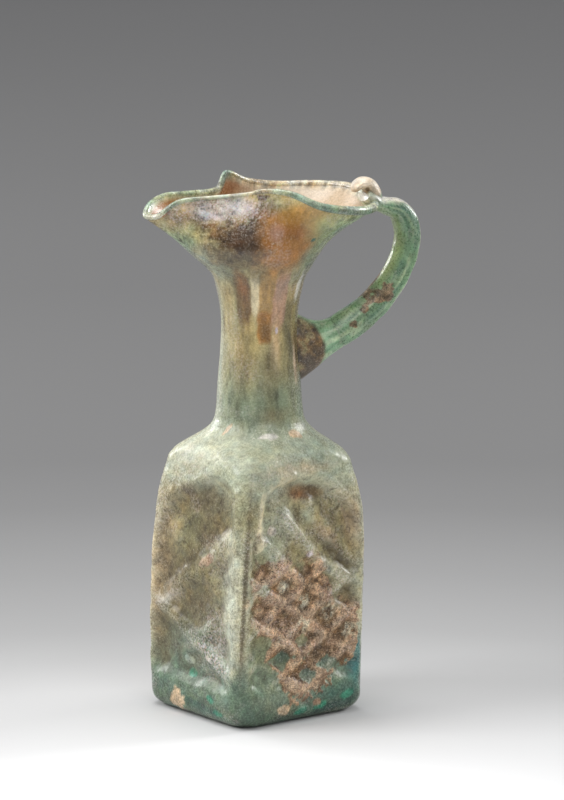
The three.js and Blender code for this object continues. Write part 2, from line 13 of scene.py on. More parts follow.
import bpy
import numpy as np
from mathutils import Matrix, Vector

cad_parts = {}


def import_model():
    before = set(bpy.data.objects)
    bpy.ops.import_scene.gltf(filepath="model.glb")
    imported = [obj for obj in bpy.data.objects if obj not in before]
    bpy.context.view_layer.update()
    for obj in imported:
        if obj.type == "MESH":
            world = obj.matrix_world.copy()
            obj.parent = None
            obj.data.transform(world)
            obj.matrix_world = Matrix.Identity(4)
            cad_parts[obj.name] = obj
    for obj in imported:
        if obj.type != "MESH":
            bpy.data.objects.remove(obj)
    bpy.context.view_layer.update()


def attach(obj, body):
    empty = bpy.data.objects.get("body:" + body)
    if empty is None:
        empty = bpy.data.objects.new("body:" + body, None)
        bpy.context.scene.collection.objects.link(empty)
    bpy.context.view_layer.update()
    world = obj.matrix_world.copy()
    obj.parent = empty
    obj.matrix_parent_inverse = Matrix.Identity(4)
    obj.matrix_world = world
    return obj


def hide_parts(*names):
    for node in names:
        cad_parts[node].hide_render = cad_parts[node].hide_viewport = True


LOG = logging.getLogger("oinochoe")
MM = 0.001
FULL_TURN = 2 * math.pi
QUARTER = FULL_TURN / 4
TINY = 1e-9
Array = np.ndarray
Field = Array | float
Curve = tuple[tuple[float, float], ...]
Socket = bpy.types.NodeSocket
Value = Socket | float | tuple[float, ...]


class Tone(Enum):
    """Named tones of the weathered glass, as sRGB hex values."""

    PALE_GREEN = "b1b69a"
    MILKY = "d8dac2"
    CREAM = "dfd3ae"
    BLUE_GREEN = "aebda8"
    MIST = "8fa08c"
    GREY_GREEN = "8b9579"
    SAGE = "918b63"
    CORNER = "b3b194"
    FADED_GREEN = "7c8f78"
    GLASS_GREEN = "7cab80"
    MOSS = "6f7a58"
    SEA_GREEN = "6b9279"
    TEAL = "35695a"
    DEEP_TEAL = "17493f"
    BOTTLE = "465e48"
    FERN = "5c7761"
    TEAL_BLUE = "176866"
    YELLOW_GREEN = "b3b478"
    LEAF = "9dba7c"
    LIME = "c6d79c"
    EMERALD = "2c8a6b"
    OLIVE = "857650"
    DARK_OLIVE = "5a4f32"
    UMBER = "493320"
    BROWN = "755834"
    RUST = "91582c"
    AMBER = "ab722a"
    HONEY = "bd8e40"
    BEIGE = "ac9a6b"
    STRAW = "bcae78"
    BUFF = "d2b792"
    PEACH = "e6cdb0"
    ROSE = "c09480"
    LAVENDER = "cdc4ce"
    TAN = "a98768"
    CHALK = "e8e2d4"


class Glass(Enum):
    """The record's material slots."""

    BASE = "base_glass"
    BODY = "body_glass"
    SHOULDER = "shoulder_glass"
    NECK = "neck_glass"
    MOUTH = "mouth_glass"
    RIM = "rim_glass"
    PAD = "pad_glass"
    HANDLE = "handle_glass"
    THUMB = "thumb_glass"


def linear(tone: Tone) -> Array:
    """The tone as linear red, green and blue."""
    srgb = np.array([int(tone.value[k : k + 2], 16) / 255 for k in (0, 2, 4)])
    return np.where(srgb <= 0.04045, srgb / 12.92, ((srgb + 0.055) / 1.055) ** 2.4)


def smooth(value: Array, low: float, high: float) -> Array:
    """A smooth step from 0 at low to 1 at high."""
    share = np.clip((value - low) / (high - low), 0, 1)
    return share * share * (3 - 2 * share)


def mix(first: Field, second: Field, share: Field) -> Field:
    """The blend of two values, first at share 0."""
    return first + (second - first) * share


def tint(paint: Array, tone: Tone, share: Field) -> Array:
    """The colours blended towards a tone by a share at each place."""
    return mix(paint, linear(tone), np.asarray(share)[..., None])


def smooth_curve(rows: Array, at: Array) -> Array:
    """A cubic Hermite curve through rows of (place, value).

    Args:
        rows: Points in rising order of place.
        at: Places to read, clipped to the rows.

    Returns:
        The curve's value at each place.
    """
    place, value = np.asarray(rows, float).T
    slope = np.gradient(value, place)
    at = np.clip(at, place[0], place[-1])
    k = np.clip(np.searchsorted(place, at, side="right") - 1, 0, len(place) - 2)
    step = place[k + 1] - place[k]
    t = (at - place[k]) / step
    rise = value[k + 1] - value[k]
    bend = slope[k] * step * t * (1 - t) ** 2 - slope[k + 1] * step * t * t * (1 - t)
    return value[k] + rise * t * t * (3 - 2 * t) + bend


def catmull_rom(points: Array, at: Array, closed: bool = False) -> Array:
    """A centripetal Catmull-Rom spline through points.

    Each span is a cubic whose end tangents come from the square roots of the neighbouring
    chord lengths. Open ends mirror their neighbour.

    Args:
        points: Array of shape (count, ..., dimensions). Middle axes are parallel curves.
        at: Parameters from 0 to 1 over the whole curve.
        closed: Whether the last point joins the first.

    Returns:
        Array of shape (len(at), ..., dimensions).
    """
    if closed:
        padded = np.concatenate([points[-1:], points, points[:2]])
        spans = len(points)
    else:
        first, last = 2 * points[:1] - points[1:2], 2 * points[-1:] - points[-2:-1]
        padded = np.concatenate([first, points, last])
        spans = len(points) - 1
    place = np.clip(np.asarray(at, float), 0, 1) * spans
    k = np.minimum(place.astype(int), spans - 1)
    t = (place - k).reshape((-1,) + (1,) * (points.ndim - 1))
    a, b, c, d = (padded[k + n] for n in range(4))
    step = [
        np.sqrt(np.linalg.norm(q - p, axis=-1, keepdims=True)) + TINY
        for p, q in ((a, b), (b, c), (c, d))
    ]
    leave = (b - a) / step[0] - (c - a) / (step[0] + step[1]) + (c - b) / step[1]
    arrive = (c - b) / step[1] - (d - b) / (step[1] + step[2]) + (d - c) / step[2]
    leave, arrive = leave * step[1], arrive * step[1]
    cubic = 2 * b - 2 * c + leave + arrive
    square = 3 * c - 3 * b - 2 * leave - arrive
    return ((cubic * t + square) * t + leave) * t + b


def value_noise(points: Array, size: float, seed: int) -> Array:
    """Smooth random values from 0 to 1 on a lattice of the given cell size.

    Each lattice corner gets a number hashed from its three indices, and a point blends the
    eight corners of its cell.

    Args:
        points: Points.
        size: Size of a cell.
        seed: Number that picks the noise.

    Returns:
        A value for each point.
    """
    place = points / size + seed * 17.31
    cell = np.floor(place).astype(np.int64)
    share = place - cell
    share = share * share * (3 - 2 * share)
    total = np.zeros(points.shape[:-1])
    for corner in itertools.product((0, 1), repeat=3):
        x, y, z = np.moveaxis(cell + np.array(corner), -1, 0)
        mixed = (x * 73856093) ^ (y * 19349663) ^ (z * 83492791) ^ (seed * 265443576)
        mixed = (mixed ^ (mixed >> 13)) * 1274126177
        mixed = (mixed ^ (mixed >> 16)) & 0xFFFFFF
        weight = np.prod(np.where(np.array(corner) > 0, share, 1 - share), axis=-1)
        total += weight * mixed / 0xFFFFFF
    return total


def rough_noise(points: Array, size: float, seed: int, octaves: int = 4) -> Array:
    """Noise summed over octaves, each half the size and half the strength, from 0 to 1."""
    parts = [value_noise(points, size / 2**k, seed + k) / 2**k for k in range(octaves)]
    return sum(parts) / sum(1 / 2**k for k in range(octaves))


def grid_normals(grid: Array) -> Array:
    """Unit normals of a grid of rings, from the steps along and around it.

    Args:
        grid: Array of shape (rows, columns, 3). Columns run counter-clockwise and close.

    Returns:
        Array of the same shape.
    """
    around = np.roll(grid, -1, axis=1) - np.roll(grid, 1, axis=1)
    along = np.gradient(grid, axis=0)
    normal = np.cross(around, along)
    length = np.linalg.norm(normal, axis=-1, keepdims=True)
    return normal / np.maximum(length, TINY)


@dataclass(frozen=True)
class Surface:
    """A grid of rings with the values that its material reads.

    Attributes:
        grid: Places in millimetres, shape (rows, columns, 3).
        normals: Unit normals of the whole surface that this one is cut from.
        paint: Linear colours, shape (rows, columns, 3).
        masks: Named values from 0 to 1, each of shape (rows, columns).
    """

    grid: Array
    normals: Array
    paint: Array
    masks: dict[str, Array]

    def rows(self, start: int, stop: int) -> "Surface":
        """The rings from start up to and including stop.

        Args:
            start: First ring.
            stop: Last ring.

        Returns:
            The rings with their normals, paint and masks.
        """
        part = slice(start, stop + 1)
        masks = {name: values[part] for name, values in self.masks.items()}
        return Surface(self.grid[part], self.normals[part], self.paint[part], masks)


@dataclass(frozen=True)
class Piece:
    """A named visual piece made of one or more surfaces.

    Attributes:
        name: Name of the object.
        nodes: CAD nodes that it stands for.
        slot: The record's material slot.
        surfaces: The surfaces that make it up.
        start_pole: Whether the first surface's first ring is one point.
        end_pole: Whether the last surface's last ring is one point.
    """

    name: str
    nodes: tuple[str, ...]
    slot: Glass
    surfaces: tuple[Surface, ...]
    start_pole: bool = False
    end_pole: bool = False

    def build(self, material: bpy.types.Material) -> bpy.types.Object:
        """Makes the mesh object, hands it to the frame and reports it.

        Args:
            material: Its material.

        Returns:
            The object, at the origin, riding the root body.
        """
        places, normals, paints, faces = [], [], [], []
        masks: dict[str, list[Array]] = {name: [] for name in self.surfaces[0].masks}
        offset = 0
        for number, surface in enumerate(self.surfaces):
            first = self.start_pole and number == 0
            last = self.end_pole and number == len(self.surfaces) - 1
            keep, corners = self._topology(surface.grid.shape[:2], first, last)
            places.append(surface.grid.reshape(-1, 3)[keep] * MM)
            normals.append(surface.normals.reshape(-1, 3)[keep])
            paints.append(surface.paint.reshape(-1, 3)[keep])
            for name, values in surface.masks.items():
                masks[name].append(values.reshape(-1)[keep])
            faces.extend((corners + offset).tolist())
            offset += len(keep)
        mesh = bpy.data.meshes.new(self.name)
        faces = [[c for k, c in enumerate(f) if c != f[k - 1]] for f in faces]
        mesh.from_pydata(np.concatenate(places).tolist(), [], faces)
        mesh.shade_smooth()
        mesh.normals_split_custom_set_from_vertices(np.concatenate(normals).tolist())
        colour = mesh.attributes.new("paint", "FLOAT_COLOR", "POINT")
        rgba = np.ones((offset, 4), np.float32)
        rgba[:, :3] = np.concatenate(paints)
        colour.data.foreach_set("color", rgba.ravel())
        for name, parts in masks.items():
            mask = mesh.attributes.new(name, "FLOAT", "POINT")
            mask.data.foreach_set("value", np.concatenate(parts).astype(np.float32))
        mesh.materials.append(material)
        piece = add_object(self.name, mesh)
        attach(piece, "root")
        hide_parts(*self.nodes)
        LOG.info("%s: %d vertices, %d faces", self.name, offset, len(faces))
        return piece

    @staticmethod
    def _topology(shape: tuple[int, int], start_pole: bool, end_pole: bool) -> tuple[Array, Array]:
        """Vertices to keep and the quads between rings.

        A pole keeps the first point of its ring, and the quads beside it lose a corner.

        Args:
            shape: Rows and columns of the grid.
            start_pole: Whether the first ring is one point.
            end_pole: Whether the last ring is one point.

        Returns:
            Indices of kept grid points, and corners as positions in that list.
        """
        rows, columns = shape
        index = np.arange(rows * columns).reshape(rows, columns)
        target = index.copy()
        if start_pole:
            target[0] = index[0, 0]
        if end_pole:
            target[-1] = index[-1, 0]
        keep, place = np.unique(target, return_inverse=True)
        place = place.reshape(rows, columns)
        turned = np.roll(place, -1, axis=1)
        corners = np.stack([place[:-1], turned[:-1], turned[1:], place[1:]], axis=-1)
        return keep, corners.reshape(-1, 4)


def add_object(name: str, data: bpy.types.ID) -> bpy.types.Object:
    """A new object at the origin, linked to the scene.

    Args:
        name: Name of the piece.
        data: Its mesh, light or camera.

    Returns:
        The object.
    """
    thing = bpy.data.objects.new(name, data)
    bpy.context.scene.collection.objects.link(thing)
    return thing


def hill(distance: Array, width: float, rise: float) -> Array:
    """A soft hill: its rise in the middle, 0 from half its width on."""
    return rise * np.clip(1 - (2 * distance / width) ** 2, 0, 1) ** 2


@dataclass(frozen=True)
class Rib:
    """A raised rib on one side of the body, as a line of (across, height) points."""

    points: Curve
    rise: float = 2.1
    width: float = 8

    def height_at(self, across: Array, up: Array) -> Array:
        """The rib's rise at each place, by its distance from the line.

        Args:
            across: Places across the side.
            up: Heights.

        Returns:
            A rise for each place.
        """
        nearest = np.full(across.shape, np.inf)
        for (x0, z0), (x1, z1) in itertools.pairwise(self.points):
            run, climb = x1 - x0, z1 - z0
            share = ((across - x0) * run + (up - z0) * climb) / (run * run + climb * climb)
            share = np.clip(share, 0, 1)
            off = np.hypot(across - x0 - share * run, up - z0 - share * climb)
            nearest = np.minimum(nearest, off)
        return hill(nearest, self.width, self.rise)


@dataclass(frozen=True)
class Lattice:
    """Diamonds of crossing ribs with a boss in each, up to a height."""

    width: float = 21
    height: float = 14
    middle: float = 33
    top: float = 60
    fade: float = 8
    rib_width: float = 8
    rib_rise: float = 1.8
    boss_width: float = 9
    boss_rise: float = 0.9

    def height_at(self, across: Array, up: Array) -> Array:
        """The higher of the ribs and bosses, fading out over the top.

        Args:
            across: Places across the side.
            up: Heights.

        Returns:
            A rise for each place.
        """
        slope = self.height / self.width
        level = up - self.middle - self.height / 2
        raised = self._boss(across, up)
        for sign in (-1, 1):
            phase = (level + sign * across * slope) / self.height
            off = np.abs(phase - np.round(phase)) * self.height / math.hypot(1, slope)
            raised = np.maximum(raised, hill(off, self.rib_width, self.rib_rise))
        return raised * (1 - smooth(up, self.top, self.top + self.fade))

    def _boss(self, across: Array, up: Array) -> Array:
        """The boss in the middle of the nearest diamond.

        Args:
            across: Places across the side.
            up: Heights.

        Returns:
            A rise for each place.
        """
        column = np.round(2 * across / self.width)
        odd = np.abs(column) % 2 / 2
        row = np.round((up - self.middle) / self.height - odd) + odd
        off = np.hypot(across - column * self.width / 2, up - self.middle - row * self.height)
        return hill(off, self.boss_width, self.boss_rise)


@dataclass(frozen=True)
class Panel:
    """A sunken panel with an arched top and its ribs.

    Attributes:
        arch: Line of the arched top, as (across, height) points.
        left: Line of the left edge, as (height, across) points.
        right: Place of the right edge across the side.
        ribs: Raised ribs in it.
        beads: Raised lines around it, which stand over the plain wall.
        lattice: Crossing ribs and bosses, if it has them.
        foot: Height of its lower edge.
        edge: Width of the slope above and below.
        left_edge: Width of the slope on the left.
        right_edge: Width of the slope on the right.
    """

    arch: Curve
    left: Curve
    right: float
    ribs: tuple[Rib, ...]
    beads: tuple[Rib, ...] = ()
    lattice: Lattice | None = None
    foot: float = 15.0
    edge: float = 6
    left_edge: float = 6
    right_edge: float = 6

    def inside(self, across: Array, up: Array) -> Array:
        """1 in the panel and 0 outside, with a smooth slope between.

        Args:
            across: Places across the side.
            up: Heights.

        Returns:
            A mask from 0 to 1.
        """
        top = smooth_curve(np.array(self.arch), across)
        left = smooth_curve(np.array(self.left), up)
        mask = np.ones(across.shape)
        for distance, edge in (
            (across - left, self.left_edge),
            (self.right - across, self.right_edge),
            (up - self.foot, self.edge),
            (top - up, self.edge),
        ):
            mask = mask * smooth(distance, -edge / 2, edge / 2)
        return mask

    def raised(self, across: Array, up: Array) -> Array:
        """The highest of the ribs and bosses at each place.

        Args:
            across: Places across the side.
            up: Heights.

        Returns:
            A rise for each place.
        """
        parts = [rib.height_at(across, up) for rib in self.ribs]
        if self.lattice:
            parts.append(self.lattice.height_at(across, up))
        return np.maximum.reduce(parts)

    def bead(self, across: Array, up: Array) -> Array:
        """The raised lines around the panel."""
        parts = [line.height_at(across, up) for line in self.beads]
        return np.maximum.reduce([np.zeros(across.shape), *parts])


LOZENGE_PANEL = Panel(
    arch=(
        (-30, 62), (-25, 70), (-18.9, 79), (-12, 86), (-1, 91.5), (7, 94), (13.5, 94), (22, 88),
        (27, 76),
    ),
    left=((0, -25.5), (96, -25.5)),
    right=22.5,
    right_edge=10,
    ribs=(
        Rib(((30, 79.5), (23.4, 75.4), (6.2, 63.5), (-18.5, 45), (-30, 37.5)), 1.2, 12),
        Rib(((-26, 76), (0.4, 60.7), (27, 45)), 0.9, 12),
        Rib(((26, 47), (-2.5, 26.5), (-15.9, 14), (-24, 7)), 1.2, 11),
        Rib(((-26, 43), (1.2, 29.6), (28, 17)), 2.0, 11),
    ),
)

DIAMOND_PANEL = Panel(
    arch=(
        (-27, 74), (-23, 86), (-20.3, 90.5), (-13, 94.2), (-5, 95.2), (2.2, 94.4), (14.2, 90),
        (19.4, 84.5), (22.5, 76), (27, 62),
    ),
    left=((0, -26.3), (60, -26.3), (74, -25.6), (82, -22.5), (96, -22)),
    right=24.5,
    left_edge=4.5,
    ribs=(
        Rib(((2, 85.1), (17.6, 65.4), (27, 58)), 1.5, 9),
        Rib(((-9.1, 82), (4.9, 64), (25.8, 50.3)), 2.4, 8.5),
        Rib(((-20, 72), (-10, 62)), 1.4, 8),
    ),
    beads=(
        Rib(
            (
                (-23, 70), (-22.6, 77), (-21.6, 84), (-18.5, 90.5), (-12, 94.8), (-4, 96),
            ),
            1.5,
            5.8,
        ),
        Rib(((-10, 95.2), (-4, 96), (4, 95.4), (14, 91.4), (20, 85.5), (24, 77)), 0.6, 7),
    ),
    lattice=Lattice(),
)


@dataclass(frozen=True)
class BodyShape:
    """The bubble's plain form from the foot to the top of the neck."""

    width: float = 63
    height: float = 96
    base_top: float = 12
    corner: float = 8
    yaw: float = math.radians(20.4)
    wall: float = 2.6
    foot_edge: float = 6
    floor: float = 4
    kick: float = 0.9
    shoulder_rise: float = 18
    shoulder_start: float = 87
    neck_length: float = 54
    neck_root: float = 17.4
    neck_waist: float = 14.6
    neck_top: float = 17.2
    neck_wall: float = 3
    lean: float = 1.5
    lean_start: float = 20
    seam_rise: float = 0.8
    seam_width: float = 2.6
    seam_low: tuple[float, float] = (12, 24)
    seam_high: tuple[float, float] = (76, 88)
    seam_reach: float = 1.3
    round_start: float = 0.1
    shoulder_edge: float = 0.885
    body_curve: Curve = ((0, 0.985), (0.2, 0.996), (0.45, 1), (0.78, 0.981), (0.9, 0.945))
    shoulder_curve: Curve = (
        (0, 1), (0.22, 0.92), (0.37, 0.82), (0.5, 0.65), (0.65, 0.38), (0.8, 0.17),
    )
    root_curve: Curve = ((0, 1), (0.09, 0.69), (0.28, 0.5), (0.5, 0.15), (0.7, 0))
    top_curve: Curve = ((0.85, 0.31), (0.945, 0.73), (1, 1))

    @property
    def root_height(self) -> float:
        """Height of the neck's root."""
        return self.height + self.shoulder_rise

    @property
    def top_height(self) -> float:
        """Height of the neck's top."""
        return self.root_height + self.neck_length

    def half_side(self, up: Array) -> Array:
        """Half the distance between opposite sides at each height.

        Args:
            up: Heights.

        Returns:
            A distance for each height.
        """
        half = self.width / 2
        rows = [(self.height * share, half * size) for share, size in self.body_curve]
        edge = half * self.shoulder_edge
        rows += [
            (self.height + self.shoulder_rise * share, mix(self.neck_root, edge, size))
            for share, size in self.shoulder_curve
        ]
        for part, end in ((self.root_curve, self.neck_root), (self.top_curve, self.neck_top)):
            rows += [
                (self.root_height + self.neck_length * share, mix(self.neck_waist, end, size))
                for share, size in part
            ]
        return smooth_curve(np.array(rows), up)

    def corner_radius(self, up: Array) -> Array:
        """Radius of the upright corners, growing until the section is round.

        Args:
            up: Heights.

        Returns:
            A radius for each height.
        """
        start = self.height + self.shoulder_rise * self.round_start
        roundness = smooth(up, start, self.root_height)
        return mix(self.corner, self.half_side(up), roundness)

    def shift(self, up: Array) -> Array:
        """How far the axis leans towards the handle at each height."""
        return self.lean * smooth(up, self.lean_start, self.shoulder_start)

    def wall_at(self, up: Array) -> Array:
        """Thickness of the wall at each height."""
        return mix(self.wall, self.neck_wall, smooth(up, self.shoulder_start, self.root_height))

    @staticmethod
    def rounded_square(angle: Array, half: Array, corner: Array) -> Array:
        """Radius of a rounded square at an angle from the middle of one side.

        A ray meets the flat side, or beyond its end the circle about the corner's centre.

        Args:
            angle: Angles from the middle of one side.
            half: Half the section's width.
            corner: Radius of its corners.

        Returns:
            A radius for each angle.
        """
        folded = np.abs(angle - QUARTER * np.round(angle / QUARTER))
        centre = half - corner
        flat = half / np.cos(folded)
        along, across = np.cos(folded) + np.sin(folded), np.cos(folded) - np.sin(folded)
        reach = np.sqrt(np.maximum(0, corner**2 - (centre * across) ** 2))
        return np.where(half * np.tan(folded) <= centre, flat, centre * along + reach)

    def side_place(self, angle: Array, up: Array) -> tuple[Array, Array]:
        """The side that an angle falls on, from -2 to 2, and the place across that side.

        Args:
            angle: Directions.
            up: Heights.

        Returns:
            Numbers of the sides, and places across them.
        """
        turned = np.arctan2(np.sin(angle - self.yaw), np.cos(angle - self.yaw))
        side = np.round(turned / QUARTER)
        return side, self.half_side(up) * np.tan(turned - side * QUARTER)

    def seam(self, angle: Array, up: Array) -> Array:
        """The mould's raised seams at two opposite corners, the front one and its twin.

        Args:
            angle: Directions.
            up: Heights.

        Returns:
            A rise for each place.
        """
        turned = angle - self.yaw - QUARTER / 2
        away = np.abs(turned - 2 * QUARTER * np.round(turned / (2 * QUARTER)))
        span = smooth(up, *self.seam_low) * (1 - smooth(up, *self.seam_high))
        return hill(away * self.width / 2 * self.seam_reach, self.seam_width, self.seam_rise) * span

    def ring(self, angle: Array, up: Array, half: Array, corner: Array) -> Array:
        """Points of rounded squares, one ring for each height.

        Args:
            angle: Directions of the columns.
            up: Heights.
            half: Half the section's width.
            corner: Radius of its corners.

        Returns:
            Array of shape (len(up), len(angle), 3).
        """
        column = up[:, None]
        radius = self.rounded_square(angle[None] - self.yaw, half[:, None], corner[:, None])
        x = self.shift(column) + radius * np.cos(angle)
        y = radius * np.sin(angle)
        return np.stack(np.broadcast_arrays(x, y, column), axis=-1)


@dataclass(frozen=True)
class MouthShape:
    """The trefoil mouth: a funnel drawn out to a spout and two lobes, with a rounded rim."""

    body: BodyShape = BodyShape()
    rise: float = 26
    throat: float = 1.5
    throat_rise: float = 3.2
    spout_reach: float = 45.2
    handle_reach: float = 44.4
    funnel_handle_reach: float = 36
    lobe_width: float = 58
    lobe_centre: float = 15
    pinch_gap: float = 40
    near_pinch: float = 5
    far_pinch: float = 8.2
    spout_width: float = 27
    oval_lift: float = 3
    oval_share: float = 0.48
    oval_spread: float = 0.5
    to_pinch: tuple[float, float] = (0.74, 0.66)
    from_pinch: tuple[float, float] = (0.45, 0.55)
    wall: float = 2
    spout_roll: float = 1.15
    handle_roll: float = 1.9
    roll_growth: float = 2.5
    roll_over_wall: float = 1.05
    spout_plan: Curve = ((0.93, 0.42), (0.78, 0.76), (0.52, 1))
    lobe_plan: Curve = ((0, 1), (0.55, 0.8), (0.89, 0.4))
    near_lifts: tuple[float, ...] = (0.4, 6.2, 8, 9.6, 10.7, 9.8, 4.8, 1.2, 0)
    far_lifts: tuple[float, ...] = (3.5, 5.8, 6.1, 6.8, 12, 7.4, 4.2, 4, 3.6)

    @property
    def edge_height(self) -> float:
        """Height of the rim at the spout's tip."""
        return self.body.top_height + self.rise

    def rim(self, angle: Array) -> tuple[Array, Array]:
        """Radius and height of the rim's edge in each direction.

        The edge is a closed spline through the spout's tip, its flanks, the pinches, the
        lobes and the handle's end, read off by direction.

        Args:
            angle: Directions.

        Returns:
            Radii and heights.
        """
        points = [
            (-self.spout_reach, 0, 0),
            *self._flank(-1, self.near_pinch, self.near_lifts),
            (self.handle_reach, 0, 0),
            *self._flank(1, self.far_pinch, self.far_lifts)[::-1],
        ]
        line = catmull_rom(np.array(points, float), np.linspace(0, 1, 2401)[:-1], closed=True)
        turn = np.arctan2(line[:, 1], line[:, 0])
        order = np.argsort(turn)
        radius = np.hypot(line[:, 0], line[:, 1])[order]
        height = self.edge_height + line[order, 2]
        wrapped = np.arctan2(np.sin(angle), np.cos(angle))
        return (
            np.interp(wrapped, turn[order], radius, period=FULL_TURN),
            np.interp(wrapped, turn[order], height, period=FULL_TURN),
        )

    def _flank(
        self, sign: int, offset: float, lifts: tuple[float, ...]
    ) -> list[tuple[float, float, float]]:
        """Places of the mouth's edge on one side, from the spout's tip to the handle.

        Args:
            sign: Side of the plane through the spout and the handle.
            offset: How far the pinch lies towards the spout.
            lifts: Heights over the spout's tip.

        Returns:
            Places as x, y and lift.
        """
        pinch, spout, lobe = self.pinch_gap / 2, self.spout_width / 2, self.lobe_width / 2
        root = -self.spout_reach * self.spout_plan[-1][0]
        places = [(-self.spout_reach * out, spout * wide) for out, wide in self.spout_plan]
        places += [
            (mix(root, -offset, self.to_pinch[0]), mix(spout, pinch, self.to_pinch[1])),
            (-offset, pinch),
            (
                mix(-offset, self.lobe_centre, self.from_pinch[0]),
                mix(pinch, lobe, self.from_pinch[1]),
            ),
        ]
        places += [
            (mix(self.lobe_centre, self.handle_reach, along), lobe * wide)
            for along, wide in self.lobe_plan
        ]
        return [(x, sign * y, lift) for (x, y), lift in zip(places, lifts)]

    def funnel(self, angle: Array, level: Array) -> Array:
        """Outer face of the funnel: level 0 is the neck's top and 1 the rim's edge.

        Each upright line is a spline through the neck, the throat, an unpinched oval half
        way up, and the rim.

        Args:
            angle: Directions of the columns.
            level: Shares of the way from the neck to the rim.

        Returns:
            Array of shape (len(level), len(angle), 3).
        """
        body = self.body
        reach = np.where(np.cos(angle) < 0, self.spout_reach, self.funnel_handle_reach)
        side = self.lobe_width / 2 + self.throat
        oval = 1 / np.hypot(np.cos(angle) / reach, np.sin(angle) / side)
        throat = body.neck_top + self.throat
        below = body.top_height - self.throat_rise
        above = body.top_height + self.throat_rise
        oval_height = mix(above, self.edge_height + self.oval_lift, self.oval_share)
        rim_radius, rim_height = self.rim(angle)
        whole = np.ones_like(angle)
        rows = [
            (whole * body.half_side(np.array(below)), whole * below),
            (whole * body.neck_top, whole * body.top_height),
            (whole * throat, whole * above),
            (mix(throat, oval, self.oval_spread), whole * oval_height),
            (rim_radius, rim_height),
        ]
        line = catmull_rom(np.array(rows).transpose(0, 2, 1), mix(0.25, 1.0, level))
        radius, up = line[..., 0], line[..., 1]
        return np.stack([body.lean + radius * np.cos(angle), radius * np.sin(angle), up], axis=-1)

    def roll(self, outer: Array, inner: Array, up: Array, angle: Array,
             steps: int) -> Array:
        """The rounded rim as arcs from the funnel's outer edge to its inner edge.

        Args:
            outer: Outer edge of the funnel.
            inner: Inner edge of the funnel.
            up: Unit directions in which the funnel ends.
            angle: Direction of each column.
            steps: Rings over the roll, ends included.

        Returns:
            Array of shape (steps, columns, 3).
        """
        middle = (outer + inner) / 2
        outward = outer - middle
        half = np.linalg.norm(outward, axis=-1, keepdims=True)
        outward = outward / half
        towards_handle = ((1 + np.cos(angle)) / 2) ** self.roll_growth
        size = mix(self.spout_roll, self.handle_roll, towards_handle)[:, None]
        radius = np.maximum(size, half * self.roll_over_wall)
        rise = np.sqrt(radius**2 - half**2)
        start = -np.arcsin(rise / radius)
        turn = mix(start, math.pi - start, np.linspace(0, 1, steps)[:, None, None])
        return (
            middle
            + up * (rise + radius * np.sin(turn))
            + outward * radius * np.cos(turn)
        )


@dataclass(frozen=True)
class Patch:
    """A patch of tone on the surface.

    Attributes:
        tone: Its colour.
        azimuth: Direction of its centre, in degrees.
        up: Height of its centre.
        wide: Half its width along the surface.
        tall: Half its height.
        strength: Its share at the centre.
        soft: Width of its edge as a share of its size.
        ragged: How far noise breaks its outline.
        turn: Its slope in degrees, rising towards larger azimuths.
        grain: Size of the noise that breaks its outline.
        power: How square its outline is, 2 for an oval.
    """

    tone: Tone
    azimuth: float
    up: float
    wide: float
    tall: float
    strength: float = 0.8
    soft: float = 0.5
    ragged: float = 0.4
    turn: float = 0.0
    grain: float = 5.0
    power: float = 2.0

    def weight(self, angle: Array, points: Array, seed: int) -> Array:
        """The patch's share at each point, from its oval distance and the noise.

        Args:
            angle: Directions of the columns.
            points: Points.
            seed: Number that picks the noise.

        Returns:
            A share for each point.
        """
        radius = np.hypot(points[..., 0], points[..., 1])
        away = angle - math.radians(self.azimuth)
        across = radius * np.arctan2(np.sin(away), np.cos(away))
        rise = points[..., 2] - self.up
        slope = math.radians(self.turn)
        along = across * math.cos(slope) + rise * math.sin(slope)
        over = rise * math.cos(slope) - across * math.sin(slope)
        power = self.power
        oval = (np.abs(along / self.wide) ** power + np.abs(over / self.tall) ** power) ** (1 / power)
        share = np.zeros(oval.shape)
        near = oval < 1 + self.soft + self.ragged
        noise = rough_noise(points[near], self.grain, seed, 3) - 0.5
        edge = 1 - oval[near] + 2 * self.ragged * noise
        share[near] = self.strength * smooth(edge, -self.soft, self.soft)
        return share


def fleck(tone: Tone, azimuth: float, up: float, wide: float, tall: float, turn: float = 0.0) -> Patch:
    """A small crisp patch with a ragged outline."""
    return Patch(tone, azimuth, up, wide, tall, 0.95, 0.16, 0.5, turn, 2.0)


def drip(tone: Tone, azimuth: float, up: float, wide: float, tall: float, share: float = 0.85) -> Patch:
    """An upright streak with straight edges, as soil leaves in a neck."""
    return Patch(tone, azimuth, up, wide, tall, share, 0.2, 0.22, 0.0, 2.6, 5.0)


HALF_SIDE = 31.4
LEFT_FACE = -159.6
RIGHT_FACE = -69.6
BACK_LEFT_FACE = 20.4
BACK_RIGHT_FACE = 110.4


def facing(face: float, across: float) -> float:
    """The azimuth of a place on a side of the body, by its distance from the middle."""
    return face + math.degrees(math.atan2(across, HALF_SIDE))


def read_patches(table: str, face: float | None = None, twin: bool = False) -> tuple[Patch, ...]:
    """Patches from the rows of a table, with their values in the order of Patch's fields.

    A row may start with fleck or drip. On a side of the body its second value is the place
    across that side, and a slope marked ~ is mirrored on the unseen twin.

    Args:
        table: One row a line, with spaces between its values.
        face: Azimuth of the side's middle, if the table is for a side.
        twin: Whether it is the unseen twin.

    Returns:
        The patches in order.
    """
    flip = -1 if twin else 1
    patches = []
    for row in table.strip().splitlines():
        words = row.split()
        make = {"fleck": fleck, "drip": drip}.get(words[0], Patch)
        tone, *rest = words if make is Patch else words[1:]
        values = [float(word.rstrip("~")) * (flip if word.endswith("~") else 1) for word in rest]
        if face is not None:
            values[0] = facing(face, values[0] * flip)
        patches.append(make(Tone[tone], *values))
    return tuple(patches)


